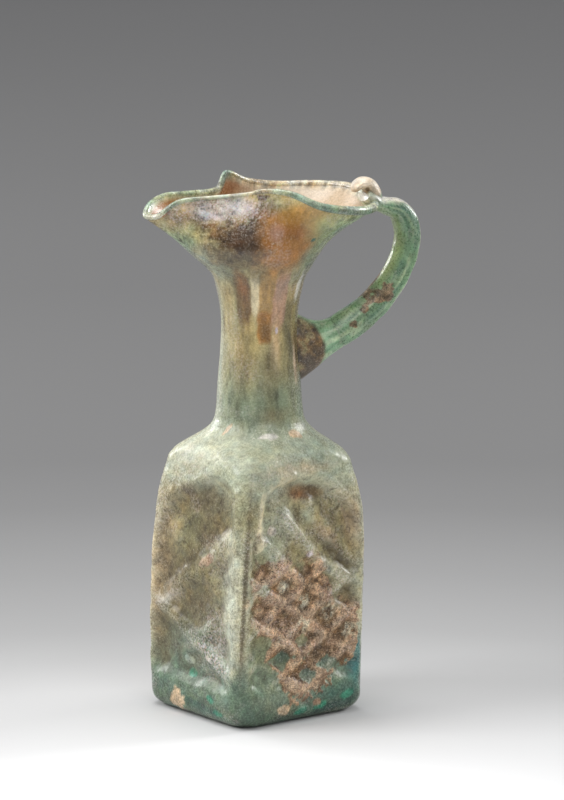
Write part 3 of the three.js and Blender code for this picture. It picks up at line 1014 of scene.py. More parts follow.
# Painted light and shade in this table: DARK_OLIVE 0 87 is painted shade under the arch's top,
# DARK_OLIVE -9 57 painted shade above the first rib, CHALK -18 44.3 a painted highlight on that rib, and
# MILKY 22.5 49 painted light on the lit strip beside the front ridge.
LOZENGE_SIDE = """
    OLIVE 1 78 17 14 0.75 0.6 0.5
    DARK_OLIVE 0 87 11 4.2 0.75 0.8 0.4 8
    BEIGE -15 78 5 10 0.5 0.8 0.5
    DARK_OLIVE 3 77 9 7 0.55 0.9 0.6
    MOSS -6 74 6 7 0.45 0.8 0.6
    DARK_OLIVE -9 57 15 3.6 0.75 0.8 0.5 37~
    SAGE 1 60 12 3.4 0.5 0.8 0.5 37~
    OLIVE 4 54 8 5 0.5 0.8 0.6
    OLIVE -8 41 13 9 0.7 0.7 0.5
    DARK_OLIVE 5 44 6 5 0.65 0.8 0.5
    OLIVE -17 27 6 9 0.65 0.7 0.5
    BROWN -20 24 4 7 0.4 0.8 0.6
    MILKY 22.5 49 4.6 23 0.75 0.7 0.35
    BLUE_GREEN 20 28 3.6 14 0.45 0.8 0.5
    FADED_GREEN -2 22 16 9 0.8 0.6 0.5
    FADED_GREEN 4 13 16 5 0.7 0.7 0.5
    MOSS 9 36 6 9 0.5 0.8 0.6
    MILKY -3 29 6 2 0.4 0.7 0.7 20
    LAVENDER 14.5 32 3 5 0.2 0.8 0.6 60
    DEEP_TEAL 19 22.3 10 0.9 0.7 0.8 0.4 -37~
    MOSS 4 4.5 22 3.4 0.5 0.6 0.5
    TEAL 8 4.6 15 2.4 0.5 0.6 0.5 -6~
    DEEP_TEAL 7 5.8 15 1.1 0.8 0.6 0.4 -8~
    DARK_OLIVE -3 48 20 19 0.42 0.7 0.3
    BOTTLE -1 22 21 16 0.68 0.7 0.3
    fleck EMERALD -2 17 2.6 1.6
    fleck EMERALD 12 9.5 2.4 1.2 -20
    fleck EMERALD 17 5 2.6 1 -10
    fleck BLUE_GREEN -4 22 2.4 1.6
    fleck TAN 6.2 63 4.8 2 35~
    CHALK -18 44.3 4.6 1.7 0.5 0.9 0.6 33~
    fleck BUFF -9.5 5.6 4 4.4 -20
    fleck CHALK 9.4 24.7 1.8 1.2 0
"""


# Painted light and shade in this table: BROWN 2 90 is painted shade, in brown, under the arch's bead;
# CREAM -21.6 79 is a painted highlight on the bead's left upright and fleck CHALK -15.3 76.5 a painted
# highlight in the panel below the arch.
DIAMOND_SIDE = """
    STRAW 2 79 16 11 0.4 0.6 0.5
    BROWN 2 90 10 2.6 0.85 0.6 0.5 -10~
    RUST -2 89 4 2.2 0.5 0.8 0.6
    DARK_OLIVE -3.5 81 3 4 0.7 0.7 0.5
    DARK_OLIVE 14 66 13 3 0.8 0.6 0.4 -52~
    DARK_OLIVE 12 80 8 2.4 0.5 0.8 0.6 -50~
    BLUE_GREEN 2 80.5 3 3 0.5 0.8 0.6
    BUFF 11 72.5 4.6 2.2 0.5 0.7 0.6 -40~
    GREY_GREEN -17 72 5 10 0.6 0.7 0.5
    TAN 23 76 3 9 0.5 0.8 0.5
    CREAM -21.6 79 1.8 8 0.9 0.5 0.3 4~
    PALE_GREEN -13 77 6 9 0.6 0.7 0.5
    MIST -15 58 4 6 0.5 0.7 0.5
    MOSS -18 28 9 12 0.6 0.6 0.5
    BOTTLE -9.7 25.8 4.4 3 0.85 0.5 0.5
    BOTTLE 12.2 21 3.6 2.6 0.85 0.5 0.5
    BOTTLE 2.4 17.8 3.4 2.4 0.85 0.5 0.5
    GREY_GREEN -6 12 16 6 0.6 0.6 0.5
    BROWN 20 44.5 4 5 0.6 0.7 0.6
    MILKY 22.5 34.5 3 3.6 0.75 0.6 0.6
    TEAL_BLUE 26 22 3.4 11 0.85 0.6 0.5
    TEAL 16 9 11 3.4 0.6 0.6 0.5
    SEA_GREEN 0 4.6 5 1.6 0.7 0.6 0.6
    BOTTLE -15 3 14 3 0.5 0.6 0.5
    DEEP_TEAL 18 4.4 12 1.6 0.75 0.6 0.5 8~
    fleck CHALK -15.3 76.5 2 1.8
    fleck EMERALD -2 4 3.4 1.3 6
    fleck EMERALD 8 5.2 3 1.4 10
    fleck EMERALD 21 8 2.6 1.6 20
    fleck DEEP_TEAL 13 3.8 3.6 1.2 8
    fleck LAVENDER 2.1 65.4 1.5 1.2
    fleck BUFF -10 6 3 1.8
    fleck TAN 6 7 2.2 1.4
"""


# CREAM -22 70 and CREAM 157 58 are painted light along the body's right and left edges.
BODY_PATCHES = (
    *read_patches("""
        MILKY -176 101 15 8 0.6 0.8 0.4
        MIST -50 102 12 6 0.6 0.8 0.5
        BUFF -72 98.5 14 2.4 0.5 0.8 0.6
        CREAM -22 70 2.8 22 0.9 0.5 0.25
        TEAL_BLUE -19 20 3 14 0.8 0.6 0.4
        SAGE -113 83 6.5 9 0.7 0.7 0.5
        SAGE 67 83 6.5 9 0.7 0.7 0.5
        CREAM 157 58 4 34 0.8 0.7 0.3
        TAN 166 52 5 26 0.5 0.8 0.5
        GREY_GREEN 30 104 26 8 0.5 0.8 0.4
        MILKY 105 102 20 7 0.5 0.8 0.4
    """),
    *read_patches(LOZENGE_SIDE, LEFT_FACE),
    *read_patches(DIAMOND_SIDE, RIGHT_FACE),
    *read_patches(LOZENGE_SIDE, BACK_LEFT_FACE, True),
    *read_patches(DIAMOND_SIDE, BACK_RIGHT_FACE, True),
    # DARK_OLIVE -113.7 and DARK_OLIVE 66.3 are a painted shadow line beside the front ridge and beside
    # its twin.
    *read_patches("""
        DARK_OLIVE -113.7 53 0.9 37 0.8 0.5 0.15 -1.7
        DARK_OLIVE 66.3 53 0.9 37 0.8 0.5 0.15 -1.7
        BOTTLE -115 14 3 8 0.7 0.7 0.4
        BOTTLE 65 14 3 8 0.7 0.7 0.4
    """),
)

# MILKY 174 136 is a painted highlight along the neck's left edge; BUFF -82 146, PEACH -44 138 and CHALK
# -47 167 are painted highlights on its right half.
NECK_PATCHES = read_patches("""
    MILKY 174 136 4 30 0.8 0.6 0.3
    PALE_GREEN -164 140 5 34 0.6 0.8 0.4
    BEIGE -110 150 15 14 0.6 0.7 0.4
    OLIVE -132 150 4 22 0.35 0.8 0.5
    drip BROWN -129 164 2.9 11
    RUST -128 168 2 6 0.5 0.6 0.5
    drip CREAM -112.5 167 1.5 11 0.75
    drip STRAW -114 148 1.8 9 0.6
    drip HONEY -96 165 3.2 12 0.6
    drip AMBER -99 152 2.8 6 0.8
    BROWN -98 150.5 2.2 3.6 0.7 0.4 0.5 0 3 4
    drip ROSE -77 163 3 11 0.7
    OLIVE -97 139 3.4 4 0.6 0.7 0.5
    BUFF -82 146 1.8 10 0.65 0.8 0.5
    DARK_OLIVE -56 144 3 16 0.6 0.7 0.5
    BROWN -38 140 2.4 10 0.6 0.7 0.5
    CHALK -47 167 1.5 6 0.9 0.5 0.4
    PEACH -44 138 1 7 0.6 0.7 0.5
    SAGE -98 133 7 8 0.5 0.8 0.5
    MOSS -95 121 18 5 0.35 0.8 0.5
    OLIVE -85 118 6 3 0.5 0.8 0.6
    BEIGE 60 150 18 18 0.6 0.7 0.4
    BROWN 70 160 4 10 0.7 0.5 0.5
    AMBER 100 152 5 9 0.6 0.6 0.5
    CREAM 86 160 2 9 0.7 0.4 0.4
    MOSS 60 121 20 5 0.4 0.8 0.5
    fleck BUFF -148.5 112.3 2.4 0.9 55
    fleck BUFF -62 110.5 3 1.4 -20
    fleck CHALK -96 110.5 3.6 1 0
    fleck LAVENDER -80 150.5 0.6 1 0
    fleck BUFF 40 112 2.8 1.2 20
""")

# UMBER -106 190 is painted shade under the pinched rim; LAVENDER -141 198.8 and CHALK -140 199 are
# pearly film with a painted highlight on the bulge left of the pinch.
MOUTH_PATCHES = read_patches("""
    STRAW 178 191 14 5 0.6 0.7 0.5
    PALE_GREEN -168 182 16 5 0.7 0.6 0.4
    BEIGE -145 192 20 7 0.65 0.6 0.5
    BROWN -162 195 6 2.4 0.6 0.8 0.8 0 3
    fleck RUST -171 197 3.4 1.2 6
    fleck BROWN -150 192.5 2.6 1.4 0
    fleck DARK_OLIVE -143 188.5 3.2 1.6 0
    fleck RUST -117 183 2.2 1.2 0
    fleck RUST -125 187 1.6 1 0
    OLIVE -114 178 9 6 0.8 0.7 0.5
    AMBER -84 178 7 6 0.6 0.7 0.5
    BROWN -120 186 16 9 0.8 0.5 0.8 0 4
    DARK_OLIVE -130 182.5 9 3.4 0.7 0.5 0.8 0 3
    UMBER -123 188 9 4.2 0.9 0.4 1 6 3
    UMBER -106 190 5 8 0.8 0.5 1 0 3.5
    DARK_OLIVE -100 198 4 4 0.7 0.5 0.9 0 3
    LAVENDER -141 198.8 11 3.6 0.9 0.6 0.7 4 4
    CHALK -140 199 9 2.4 0.7 0.6 0.8 4 3
    AMBER -75 188 13 11 0.92 0.4 0.35
    RUST -71 189.5 6 3 0.5 0.7 0.6 -20
    ROSE -91 190 2.4 3.4 0.6 0.7 0.5
    HONEY -64 197.5 9 4 0.8 0.7 0.4
    YELLOW_GREEN -48 194 8 7 0.75 0.7 0.4
    GREY_GREEN -46 182 10 4 0.7 0.7 0.4 35
    GLASS_GREEN -28 190 12 8 0.6 0.7 0.4
    GLASS_GREEN -172 186 8 4 0.5 0.7 0.5 20
    AMBER 70 188 18 9 0.7 0.7 0.5
    UMBER 115 188 12 7 0.8 0.5 1 0 3
    GREY_GREEN 30 184 14 10 0.6 0.7 0.5
    LAVENDER 140 198 10 3 0.7 0.7 0.6
    fleck UMBER -103 203 2.6 1.2 8
    fleck TEAL -58 186.5 1.2 0.8 0
""")

AMBER_GLASS = Patch(Tone.AMBER, -72, 189, 15, 12, 0.7, 0.6, 0.3)

LINING_PATCHES = read_patches("""
    AMBER 180 197 24 8 0.85 0.4 0.9 0 2.5
    RUST -172 196 14 5 0.6 0.6 0.9 0 2.5
    HONEY 165 201 10 3 0.6 0.7 0.6
    RUST 107 202 6 5 0.8 0.5 0.8 0 2.5
    TAN 90 203 8 2.4 0.5 0.8 0.5
    CHALK 50 198 12 3.4 0.4 0.8 0.5
    TAN 20 186 14 6 0.5 0.7 0.5
    UMBER 0 150 60 22 0.5 0.8 0.4
""")

RIM_PATCHES = read_patches("""
    CREAM -112 205 12 4 0.7 0.7 0.5
    BROWN -103 205 3 2 0.6 0.6 0.6
    PEACH 55 200 24 6 0.75 0.7 0.5
    PEACH 20 198 10 5 0.7 0.7 0.5
    SEA_GREEN 118 206 4 6 0.5 0.7 0.4
    CHALK -172 195 5 1.6 0.6 0.7 0.5
""")

HANDLE_PATCHES = read_patches("""
    CHALK 0 198 9 2.4 0.8 0.5 0.5 0 3
    TEAL -4 188 4 6 0.35 0.7 0.5
""")

HANDLE_SPOTS = (
    (47.5, 160, -1, 5.6, 3.0), (51, 162.5, -1, 2.6, 2.0), (42.6, 155, -1, 1.7, 1.3),
    (37.8, 149.6, -1, 2.0, 1.8), (50, 165, 1, 5, 3.4), (34, 147, 1, 2.4, 2.0),
)


SPECKLE_PATCHES = read_patches("""
    CHALK -96 110.5 10 3 1 0.8 0.6
    CHALK -150 26 18 12 0.3 0.7 0.6
    CHALK -150 68 12 5 0.4 0.8 0.6
    CHALK -112 55 7 30 0.7 0.7 0.6
    CHALK -75 72 14 10 0.7 0.8 0.6
    CHALK -60 30 22 18 0.6 0.8 0.6
    CHALK -45 125 6 14 0.8 0.8 0.6
    CHALK -125 190 26 8 0.6 0.8 0.6
    CHALK -142 198 15 5 1 0.8 0.6
    CHALK 160 55 6 40 0.6 0.8 0.6
    CHALK 30 30 18 16 0.8 0.7 0.6
    CHALK 110 60 20 20 0.6 0.8 0.6
""")


@dataclass(frozen=True)
class PatchPainter:
    """Lays patches over a ground colour, gives ground colours by height and mottles them."""

    seed: int = 11

    # The patches laid include painted highlights and painted shade as well as the glass's own stains and
    # weathering.
    def lay(self, ground: Array, angle: Array, points: Array, patches: tuple[Patch, ...]) -> Array:
        """The ground with the patches laid over it in order.

        Args:
            ground: Linear colours.
            angle: Directions of the columns.
            points: Points.
            patches: Patches in the order in which they are laid.

        Returns:
            The painted colours.
        """
        paint = ground
        for number, patch in enumerate(patches):
            share = patch.weight(angle, points, self.seed + 3 * number)[..., None]
            paint = mix(paint, linear(patch.tone), share)
        return paint

    def zones(self, up: Array) -> Array:
        """Ground colour by height: green base, sage body, pale shoulder, beige neck.

        Args:
            up: Heights.

        Returns:
            Linear colours.
        """
        rows = (
            (0, Tone.BOTTLE), (6, Tone.BOTTLE), (12, Tone.FERN), (20, Tone.FADED_GREEN),
            (34, Tone.SAGE), (80, Tone.SAGE), (92, Tone.PALE_GREEN), (108, Tone.PALE_GREEN),
            (116, Tone.GREY_GREEN), (128, Tone.GREY_GREEN), (150, Tone.STRAW), (166, Tone.BEIGE),
            (176, Tone.GREY_GREEN), (186, Tone.BEIGE), (200, Tone.STRAW),
        )
        heights = [row[0] for row in rows]
        colours = np.array([linear(row[1]) for row in rows])
        return np.stack([np.interp(up, heights, colours[:, k]) for k in range(3)], axis=-1)

    def mottle(self, paint: Array, points: Array, strength: Field = 1.0) -> Array:
        """Uneven light, dark, warm and cool over the paint, from three sizes of noise.

        Args:
            paint: Linear colours.
            points: Places that the noise is read at. Squeezed places give drawn-out streaks.
            strength: How strong the light and dark are.

        Returns:
            The uneven colours.
        """
        broad = rough_noise(points, 5, self.seed + 200, 2) - 0.5
        middle = rough_noise(points, 2.4, self.seed + 210, 2) - 0.5
        fine = rough_noise(points, 1.1, self.seed + 220, 1) - 0.5
        tint = (rough_noise(points, 3.6, self.seed + 230, 2) - 0.5) * strength
        light = np.clip(1 + strength * (0.5 * broad + 0.75 * middle + 0.45 * fine), 0.25, 1.9)
        warm = np.array([1.0, 0.1, -0.9])
        return np.clip(paint * light[..., None] * (1 + 0.26 * tint[..., None] * warm), 0, 0.95)


@dataclass(frozen=True)
class Relief:
    """The pressed relief of the body's rings.

    Attributes:
        side: Number of the side, from -2 to 2.
        across: Place across the side.
        panel: 1 in a panel and 0 outside.
        raised: Rise of the ribs and bosses.
        bead: Rise of the beads over the plain wall.
        seam: Rise of the mould's seams.
        crust: 1 where the crust lies.
    """

    side: Array
    across: Array
    panel: Array
    raised: Array
    bead: Array
    seam: Array
    crust: Array

    def outward(self, depth: float) -> Array:
        """How far the wall stands out, without the crust."""
        return self.panel * (self.raised - depth) + self.bead + self.seam


@dataclass(frozen=True)
class Bubble:
    """The blown bubble: one closed surface, cut into zones that share their edge rings."""

    columns: int = 560
    body: BodyShape = BodyShape()
    mouth: MouthShape = MouthShape()
    painter: PatchPainter = PatchPainter()
    depth: float = 3
    pole: float = 1e-4
    swell: float = 0.7
    lumps: float = 0.6
    grit: float = 0.22
    crust_rise: float = 0.4
    still_foot: float = 4.0
    inner_rings: tuple[int, ...] = (15, 15, 23, 4)

    def pieces(self) -> tuple[Piece, ...]:
        """Cuts the surface into the visual pieces.

        Returns:
            base, body wall, shoulder, neck, mouth funnel and rim, from the foot up.
        """
        surface, marks = self._surface()

        def zone(name: str, node: str, slot: Glass, low: str, high: str, **poles: bool) -> Piece:
            """The outer and inner rings between two marks as one piece.

            Args:
                name: Name of the piece.
                node: Its CAD node.
                slot: Its material slot.
                low: Mark at its foot.
                high: Mark at its top.
                poles: Which ends are one point.

            Returns:
                The piece.
            """
            outside = surface.rows(marks["out_" + low], marks["out_" + high])
            inside = surface.rows(marks["in_" + high], marks["in_" + low])
            return Piece(name, (node,), slot, (outside, inside), **poles)

        rim = surface.rows(marks["out_rim"], marks["in_rim"])
        return (
            zone("base_glass_shell", "base", Glass.BASE, "foot", "base", start_pole=True, end_pole=True),
            zone("body_lattice_wall", "body_wall", Glass.BODY, "base", "body"),
            zone("shoulder_slope", "shoulder", Glass.SHOULDER, "body", "root"),
            zone("neck_tube", "neck", Glass.NECK, "root", "top"),
            zone("trefoil_funnel", "mouth_funnel", Glass.MOUTH, "top", "rim"),
            Piece("fire_rounded_rim", ("rim_roll",), Glass.RIM, (rim,)),
        )

    def _surface(self) -> tuple[Surface, dict[str, int]]:
        """The whole closed surface from the foot's centre to the inner floor's centre.

        Returns:
            The surface, and the ring numbers at which its zones meet.
        """
        body, mouth = self.body, self.mouth
        angle = np.linspace(-math.pi, math.pi, self.columns, endpoint=False)
        outer_heights = self._heights()
        foot = self._foot(angle)
        half = body.half_side(outer_heights)
        stem = body.ring(angle, outer_heights, half, body.corner_radius(outer_heights))
        funnel = mouth.funnel(angle, np.linspace(0, 1, 64)[1:])
        outer = np.concatenate([foot, stem, funnel])
        inner_funnel = self._inner_funnel(angle, np.linspace(1, 0, 26))
        up = funnel[-1] - funnel[-2]
        up = up / np.linalg.norm(up, axis=-1, keepdims=True)
        roll = mouth.roll(funnel[-1], inner_funnel[0], up, angle, 17)[1:-1]
        stops = (body.top_height, body.root_height, body.shoulder_start, body.base_top,
                 body.floor + body.foot_edge / 2)
        inner_heights = np.concatenate(
            [np.linspace(high, low, rings + 1)[1:]
             for high, low, rings in zip(stops, stops[1:], self.inner_rings)]
        )
        inner_stem = self._inner_stem(angle, inner_heights)
        floor = self._inner_floor(angle)
        grid = np.concatenate([outer, roll, inner_funnel, inner_stem, floor])
        count = len(outer)
        inner_start = count + len(roll) + len(inner_funnel)
        marks = {
            "out_foot": 0,
            "out_top": len(foot) + len(stem) - 1,
            "out_rim": count - 1,
            "in_rim": count + len(roll),
            "in_top": inner_start - 1,
            "in_foot": len(grid) - 1,
        }
        passed = inner_start - 1
        for name, height, rings in zip(("root", "body", "base"), stops[1:], self.inner_rings):
            passed += rings
            marks["in_" + name] = passed
            marks["out_" + name] = len(foot) + int(np.searchsorted(outer_heights, height - 1e-6))
        return self._dress(angle, grid, marks), marks

    def _heights(self) -> Array:
        """Heights of the outer rings from the foot's edge to the neck's top.

        Returns:
            Heights in rising order.
        """
        body = self.body
        stops = [body.foot_edge, body.base_top, body.shoulder_start, body.root_height, body.top_height]
        steps = [0.6, 0.55, 0.55, 0.8]
        parts = [
            np.linspace(low, high, max(2, round((high - low) / step)) + 1)[1:]
            for low, high, step in zip(stops, stops[1:], steps)
        ]
        return np.concatenate([[body.foot_edge], *parts])

    def _foot(self, angle: Array) -> Array:
        """The underside, domed up a little in the middle, and the foot's rounded edge.

        Args:
            angle: Directions of the columns.

        Returns:
            Rings from the underside's middle to the foot's edge.
        """
        body = self.body
        half = float(body.half_side(np.array(0.0))) - body.foot_edge
        share = np.linspace(0, 1, 22)
        under = body.ring(angle, np.zeros(len(share)), half * share + self.pole, body.corner * share)
        under[..., 2] = (body.kick * (1 - share**2) ** 2)[:, None]
        turn = np.linspace(0, math.pi / 2, 12)[1:-1]
        up = body.foot_edge * (1 - np.cos(turn))
        sides = body.half_side(up) - body.foot_edge * (1 - np.sin(turn))
        edge = body.ring(angle, up, sides, np.full(len(up), body.corner))
        return np.concatenate([under, edge])

    def _inner_stem(self, angle: Array, up: Array) -> Array:
        """The inner face of the neck and body, one wall inside the outer face.

        Args:
            angle: Directions of the columns.
            up: Heights.

        Returns:
            Rings from the neck's top down.
        """
        body = self.body
        wall = body.wall_at(up)
        corner = np.maximum(1, body.corner_radius(up) - wall)
        return body.ring(angle, up, body.half_side(up) - wall, corner)

    def _inner_floor(self, angle: Array) -> Array:
        """The inner floor: flat rings at the floor's height, from the inner wall's width to the middle.

        Args:
            angle: Directions of the columns.

        Returns:
            Rings towards the middle.
        """
        body = self.body
        half = float(body.half_side(np.array(body.floor))) - body.wall - body.foot_edge
        share = np.array([1.0, 0.7, 0.4, 0.15, 0.0])
        floor = np.full(len(share), body.floor)
        return body.ring(angle, floor, half * share + self.pole, body.corner * share)

    def _inner_funnel(self, angle: Array, levels: Array) -> Array:
        """The inner face of the funnel, one wall inside its outer face.

        Args:
            angle: Directions of the columns.
            levels: Shares of the way from the neck to the rim.

        Returns:
            Rings at the levels.
        """
        fine = np.linspace(0, 1, 200)
        outer = self.mouth.funnel(angle, fine)
        normals = grid_normals(outer)
        wall = mix(self.body.neck_wall, self.mouth.wall, fine)[:, None, None]
        inner = outer - normals * wall
        place = levels * (len(fine) - 1)
        low = np.minimum(place.astype(int), len(fine) - 2)
        share = (place - low)[:, None, None]
        return mix(inner[low], inner[low + 1], share)

    def _relief(self, turn: Array, grid: Array) -> Relief:
        """Panels, ribs, seams and crust of the body's rings.

        Places on a side are moved a little by noise before they are read, so that no line
        runs quite straight, and the ribs' rise is uneven.

        Args:
            turn: Direction of each point.
            grid: Points.

        Returns:
            The relief of the rings.
        """
        up = grid[..., 2]
        side, across = self.body.side_place(turn, up)
        wander = (rough_noise(grid, 11, 5, 2) - 0.5) * 3.2
        drift = (rough_noise(grid, 9, 7, 2) - 0.5) * 2.6
        panel, raised, proud = (np.zeros(up.shape) for _ in range(3))
        for parity, shape in ((0, LOZENGE_PANEL), (1, DIAMOND_PANEL)):
            here = np.abs(side) % 2 == parity
            place, level = across[here] + wander[here], up[here] + drift[here]
            panel[here] = shape.inside(place, level)
            raised[here] = shape.raised(place, level)
            proud[here] = shape.bead(place, level)
        strength = np.clip(mix(0.1, 1.6, rough_noise(grid, 10, 41, 2)), 0.4, 1.15)
        seam = self.body.seam(turn + wander * 0.012, up) * strength
        crust = self._crust(side, across, up, grid)
        return Relief(side, across, panel, raised * strength, proud, seam, crust)

    def _crust(self, side: Array, across: Array, up: Array, grid: Array) -> Array:
        """Thick crust on the diamond sides, open in some of the diamonds.

        Args:
            side: Number of each point's side.
            across: Places across the side.
            up: Heights.
            grid: Points.

        Returns:
            A mask from 0 to 1.
        """
        broad = rough_noise(grid, 6, 51, 3) - 0.5
        fine = rough_noise(grid, 1.7, 57, 2) - 0.5
        top = (
            (-27, 60), (-20, 65), (-10, 66), (0, 61.5), (7, 66), (10, 61), (14, 51), (17, 46),
            (27, 43),
        )
        low = (
            (-27, 44), (-22, 37), (-18, 29), (-13, 21), (-10, 13), (-6, 10), (5, 8), (12, 13),
            (24, 21), (27, 36),
        )
        place = across * np.where(side > 0, -1, 1)
        over = np.interp(place, *np.array(top).T) - up
        under = up - np.interp(place, *np.array(low).T)
        body = np.minimum(over, under) / 4
        body = np.minimum(body, (27 - np.abs(place)) / 4)
        body = np.clip(body, -1.5, 1.2) + 2.6 * broad + 2.2 * fine
        for x, z, size in (
            (-9.7, 25.8, 3.6), (12.2, 21, 3.0), (2.4, 17.8, 2.6), (-0.2, 31.5, 2.4),
            (-19, 33, 3), (14, 57, 3), (21, 50, 3.4), (-20, 54, 2.4),
        ):
            away = np.abs(place - x) / (1.5 * size) + np.abs(up - z) / size
            body = body - 2.6 * np.clip(1.5 - away, 0, 1)
        soft = smooth(up, 30, 50)
        return smooth(body, -0.1 - 0.4 * soft, 0.35 + 0.6 * soft) * (np.abs(side) % 2 == 1)

    def _dress(self, angle: Array, grid: Array, marks: dict[str, int]) -> Surface:
        """Presses the panels, roughens the surface and paints it.

        Args:
            angle: Directions of the columns.
            grid: Points.
            marks: Ring numbers at which zones meet.

        Returns:
            The finished surface.
        """
        rows = np.arange(len(grid))[:, None]
        turn = np.broadcast_to(angle, grid.shape[:2])
        stem = marks["out_root"] + 1
        relief = self._relief(turn[:stem], grid[:stem])
        swell = rough_noise(grid, 16, 21, 2) - 0.5
        lumps = rough_noise(grid, 4.2, 27, 2) - 0.5
        grit = rough_noise(grid, 1.5, 31, 2) - 0.5
        coarse = mix(0.25, 1.0, 1 - smooth(grid[..., 2], 92, 112))
        out = self.swell * swell + coarse * (self.lumps * lumps + self.grit * grit)
        out = out * (rows <= marks["out_rim"])
        out[:stem] += relief.outward(self.depth)
        out[:stem] += relief.crust * (self.crust_rise * (1 + grit[:stem]) - 0.3 * lumps[:stem])
        steady = smooth(grid[..., 2], 0.0, self.still_foot)
        steady = steady * np.where(rows < marks["out_rim"] - 2, 1, 0.2)
        moved = grid + grid_normals(grid) * (out * steady)[..., None]
        moved[..., 2] = np.where(grid[..., 2] < self.still_foot, grid[..., 2], moved[..., 2])
        moved = self._follow(grid, moved, marks)
        masks = self._masks(turn, grid, relief, marks)
        paint = self._paint(turn, grid, relief, lumps, marks)
        return Surface(moved, grid_normals(moved), paint, masks)

    def _follow(self, grid: Array, moved: Array, marks: dict[str, int]) -> Array:
        """Keeps the body's inner face a wall's thickness inside the pressed outer face.

        Each inner ring reads the outer ring of its height. Its radius is the outer radius
        less the wall, or its own plain radius where that is less.

        Args:
            grid: The plain points.
            moved: The pressed points.
            marks: Ring numbers at which zones meet.

        Returns:
            The points with the inner face moved.
        """
        inner = slice(marks["in_root"] + 1, marks["in_base"] + 1)
        outer_heights = grid[marks["out_base"] : marks["out_root"] + 1, 0, 2]
        nearest = marks["out_base"] + np.searchsorted(outer_heights, grid[inner, 0, 2])
        nearest = np.minimum(nearest, marks["out_root"])
        shift = self.body.shift(grid[inner, :, 2])
        outer = moved[nearest]
        limit = np.hypot(outer[..., 0] - shift, outer[..., 1]) - self.body.wall
        plain = np.hypot(grid[inner, :, 0] - shift, grid[inner, :, 1])
        share = np.minimum(1, limit / plain)
        result = moved.copy()
        result[inner, :, 0] = shift + (grid[inner, :, 0] - shift) * share
        result[inner, :, 1] = grid[inner, :, 1] * share
        return result

    def _masks(
        self, turn: Array, grid: Array, relief: Relief, marks: dict[str, int]
    ) -> dict[str, Array]:
        """Crust, pearly sheen, dirt in the hollows and white pitting.

        Args:
            turn: Direction of each point.
            grid: Points.
            relief: The pressed relief.
            marks: Ring numbers at which zones meet.

        Returns:
            The named masks.
        """
        rows = np.arange(len(grid))[:, None]
        inside = rows > marks["in_rim"]
        stem = len(relief.panel)
        crust, hollow, crest = (np.zeros(turn.shape) for _ in range(3))
        crust[:stem] = relief.crust
        hollow[:stem] = relief.panel * np.clip(1 - relief.raised / 1.4, 0, 1)
        crest[:stem] = relief.panel * smooth(relief.raised, 0.9, 2.0)
        drift = smooth(rough_noise(grid, 12, 61, 3), 0.5, 0.7)
        flank = Patch(Tone.LAVENDER, -142, 199, 13, 5, 1.0, 0.8, 0.6).weight(turn, grid, 71)
        low = Patch(Tone.LAVENDER, -138, 30, 12, 14, 0.35, 0.8, 0.6).weight(turn, grid, 72)
        sheen = np.clip(0.4 * crest + 0.3 * drift + flank + low, 0, 1) * ~inside
        deep = inside * smooth(-grid[..., 2], -180, -150)
        lining = inside * (1 - deep)
        return {
            "crust": crust,
            "sheen": sheen,
            "dirt": np.clip(0.5 * hollow + 0.35 * deep + 0.5 * flank, 0, 1),
            "speckle": self._speckle(turn, grid) * (1 - lining),
            "calm": np.maximum(0.7 * lining, self._glassy(turn, grid, rows, marks)),
        }

    @staticmethod
    def _glassy(turn: Array, grid: Array, rows: Array, marks: dict[str, int]) -> Array:
        """How clean the glass is: half on the shoulder, neck and rim, least on the body.

        Args:
            turn: Direction of each point.
            grid: Points.
            rows: Number of each ring.
            marks: Ring numbers at which zones meet.

        Returns:
            A mask from 0 to 1.
        """
        up = grid[..., 2]
        clean = np.interp(up, (86, 98, 110, 172, 184), (0.0, 0.4, 0.45, 0.45, 0.1))
        on_roll = (rows > marks["out_rim"]) & (rows <= marks["in_rim"])
        return np.where(on_roll, 0.6, np.maximum(clean, AMBER_GLASS.weight(turn, grid, 73)))

    def _speckle(self, turn: Array, grid: Array) -> Array:
        """Places with fine white pitting.

        Args:
            turn: Direction of each point.
            grid: Points.

        Returns:
            A mask from 0 to 1.
        """
        total = np.full(turn.shape, 0.2)
        for number, spot in enumerate(SPECKLE_PATCHES):
            total = np.maximum(total, spot.weight(turn, grid, 80 + number))
        return total

    def _paint(
        self, turn: Array, grid: Array, relief: Relief, lumps: Array,
        marks: dict[str, int],
    ) -> Array:
        """Colours of the outer face, the rim and the soil-lined inner face.

        Args:
            turn: Direction of each point.
            grid: Points.
            relief: The pressed relief.
            lumps: Noise from -0.5 to 0.5.
            marks: Ring numbers at which zones meet.

        Returns:
            Linear colours.
        """
        rows = np.arange(len(grid))[:, None, None]
        work = self.painter
        outside, stem = marks["out_rim"] + 1, len(relief.panel)
        paint = work.zones(grid[..., 2])
        up = grid[:stem, :, 2]
        plain = (1 - relief.panel) * smooth(up, 14, 30) * (1 - smooth(up, 84, 96))
        paint[:stem] = tint(paint[:stem], Tone.CORNER, 0.8 * plain)
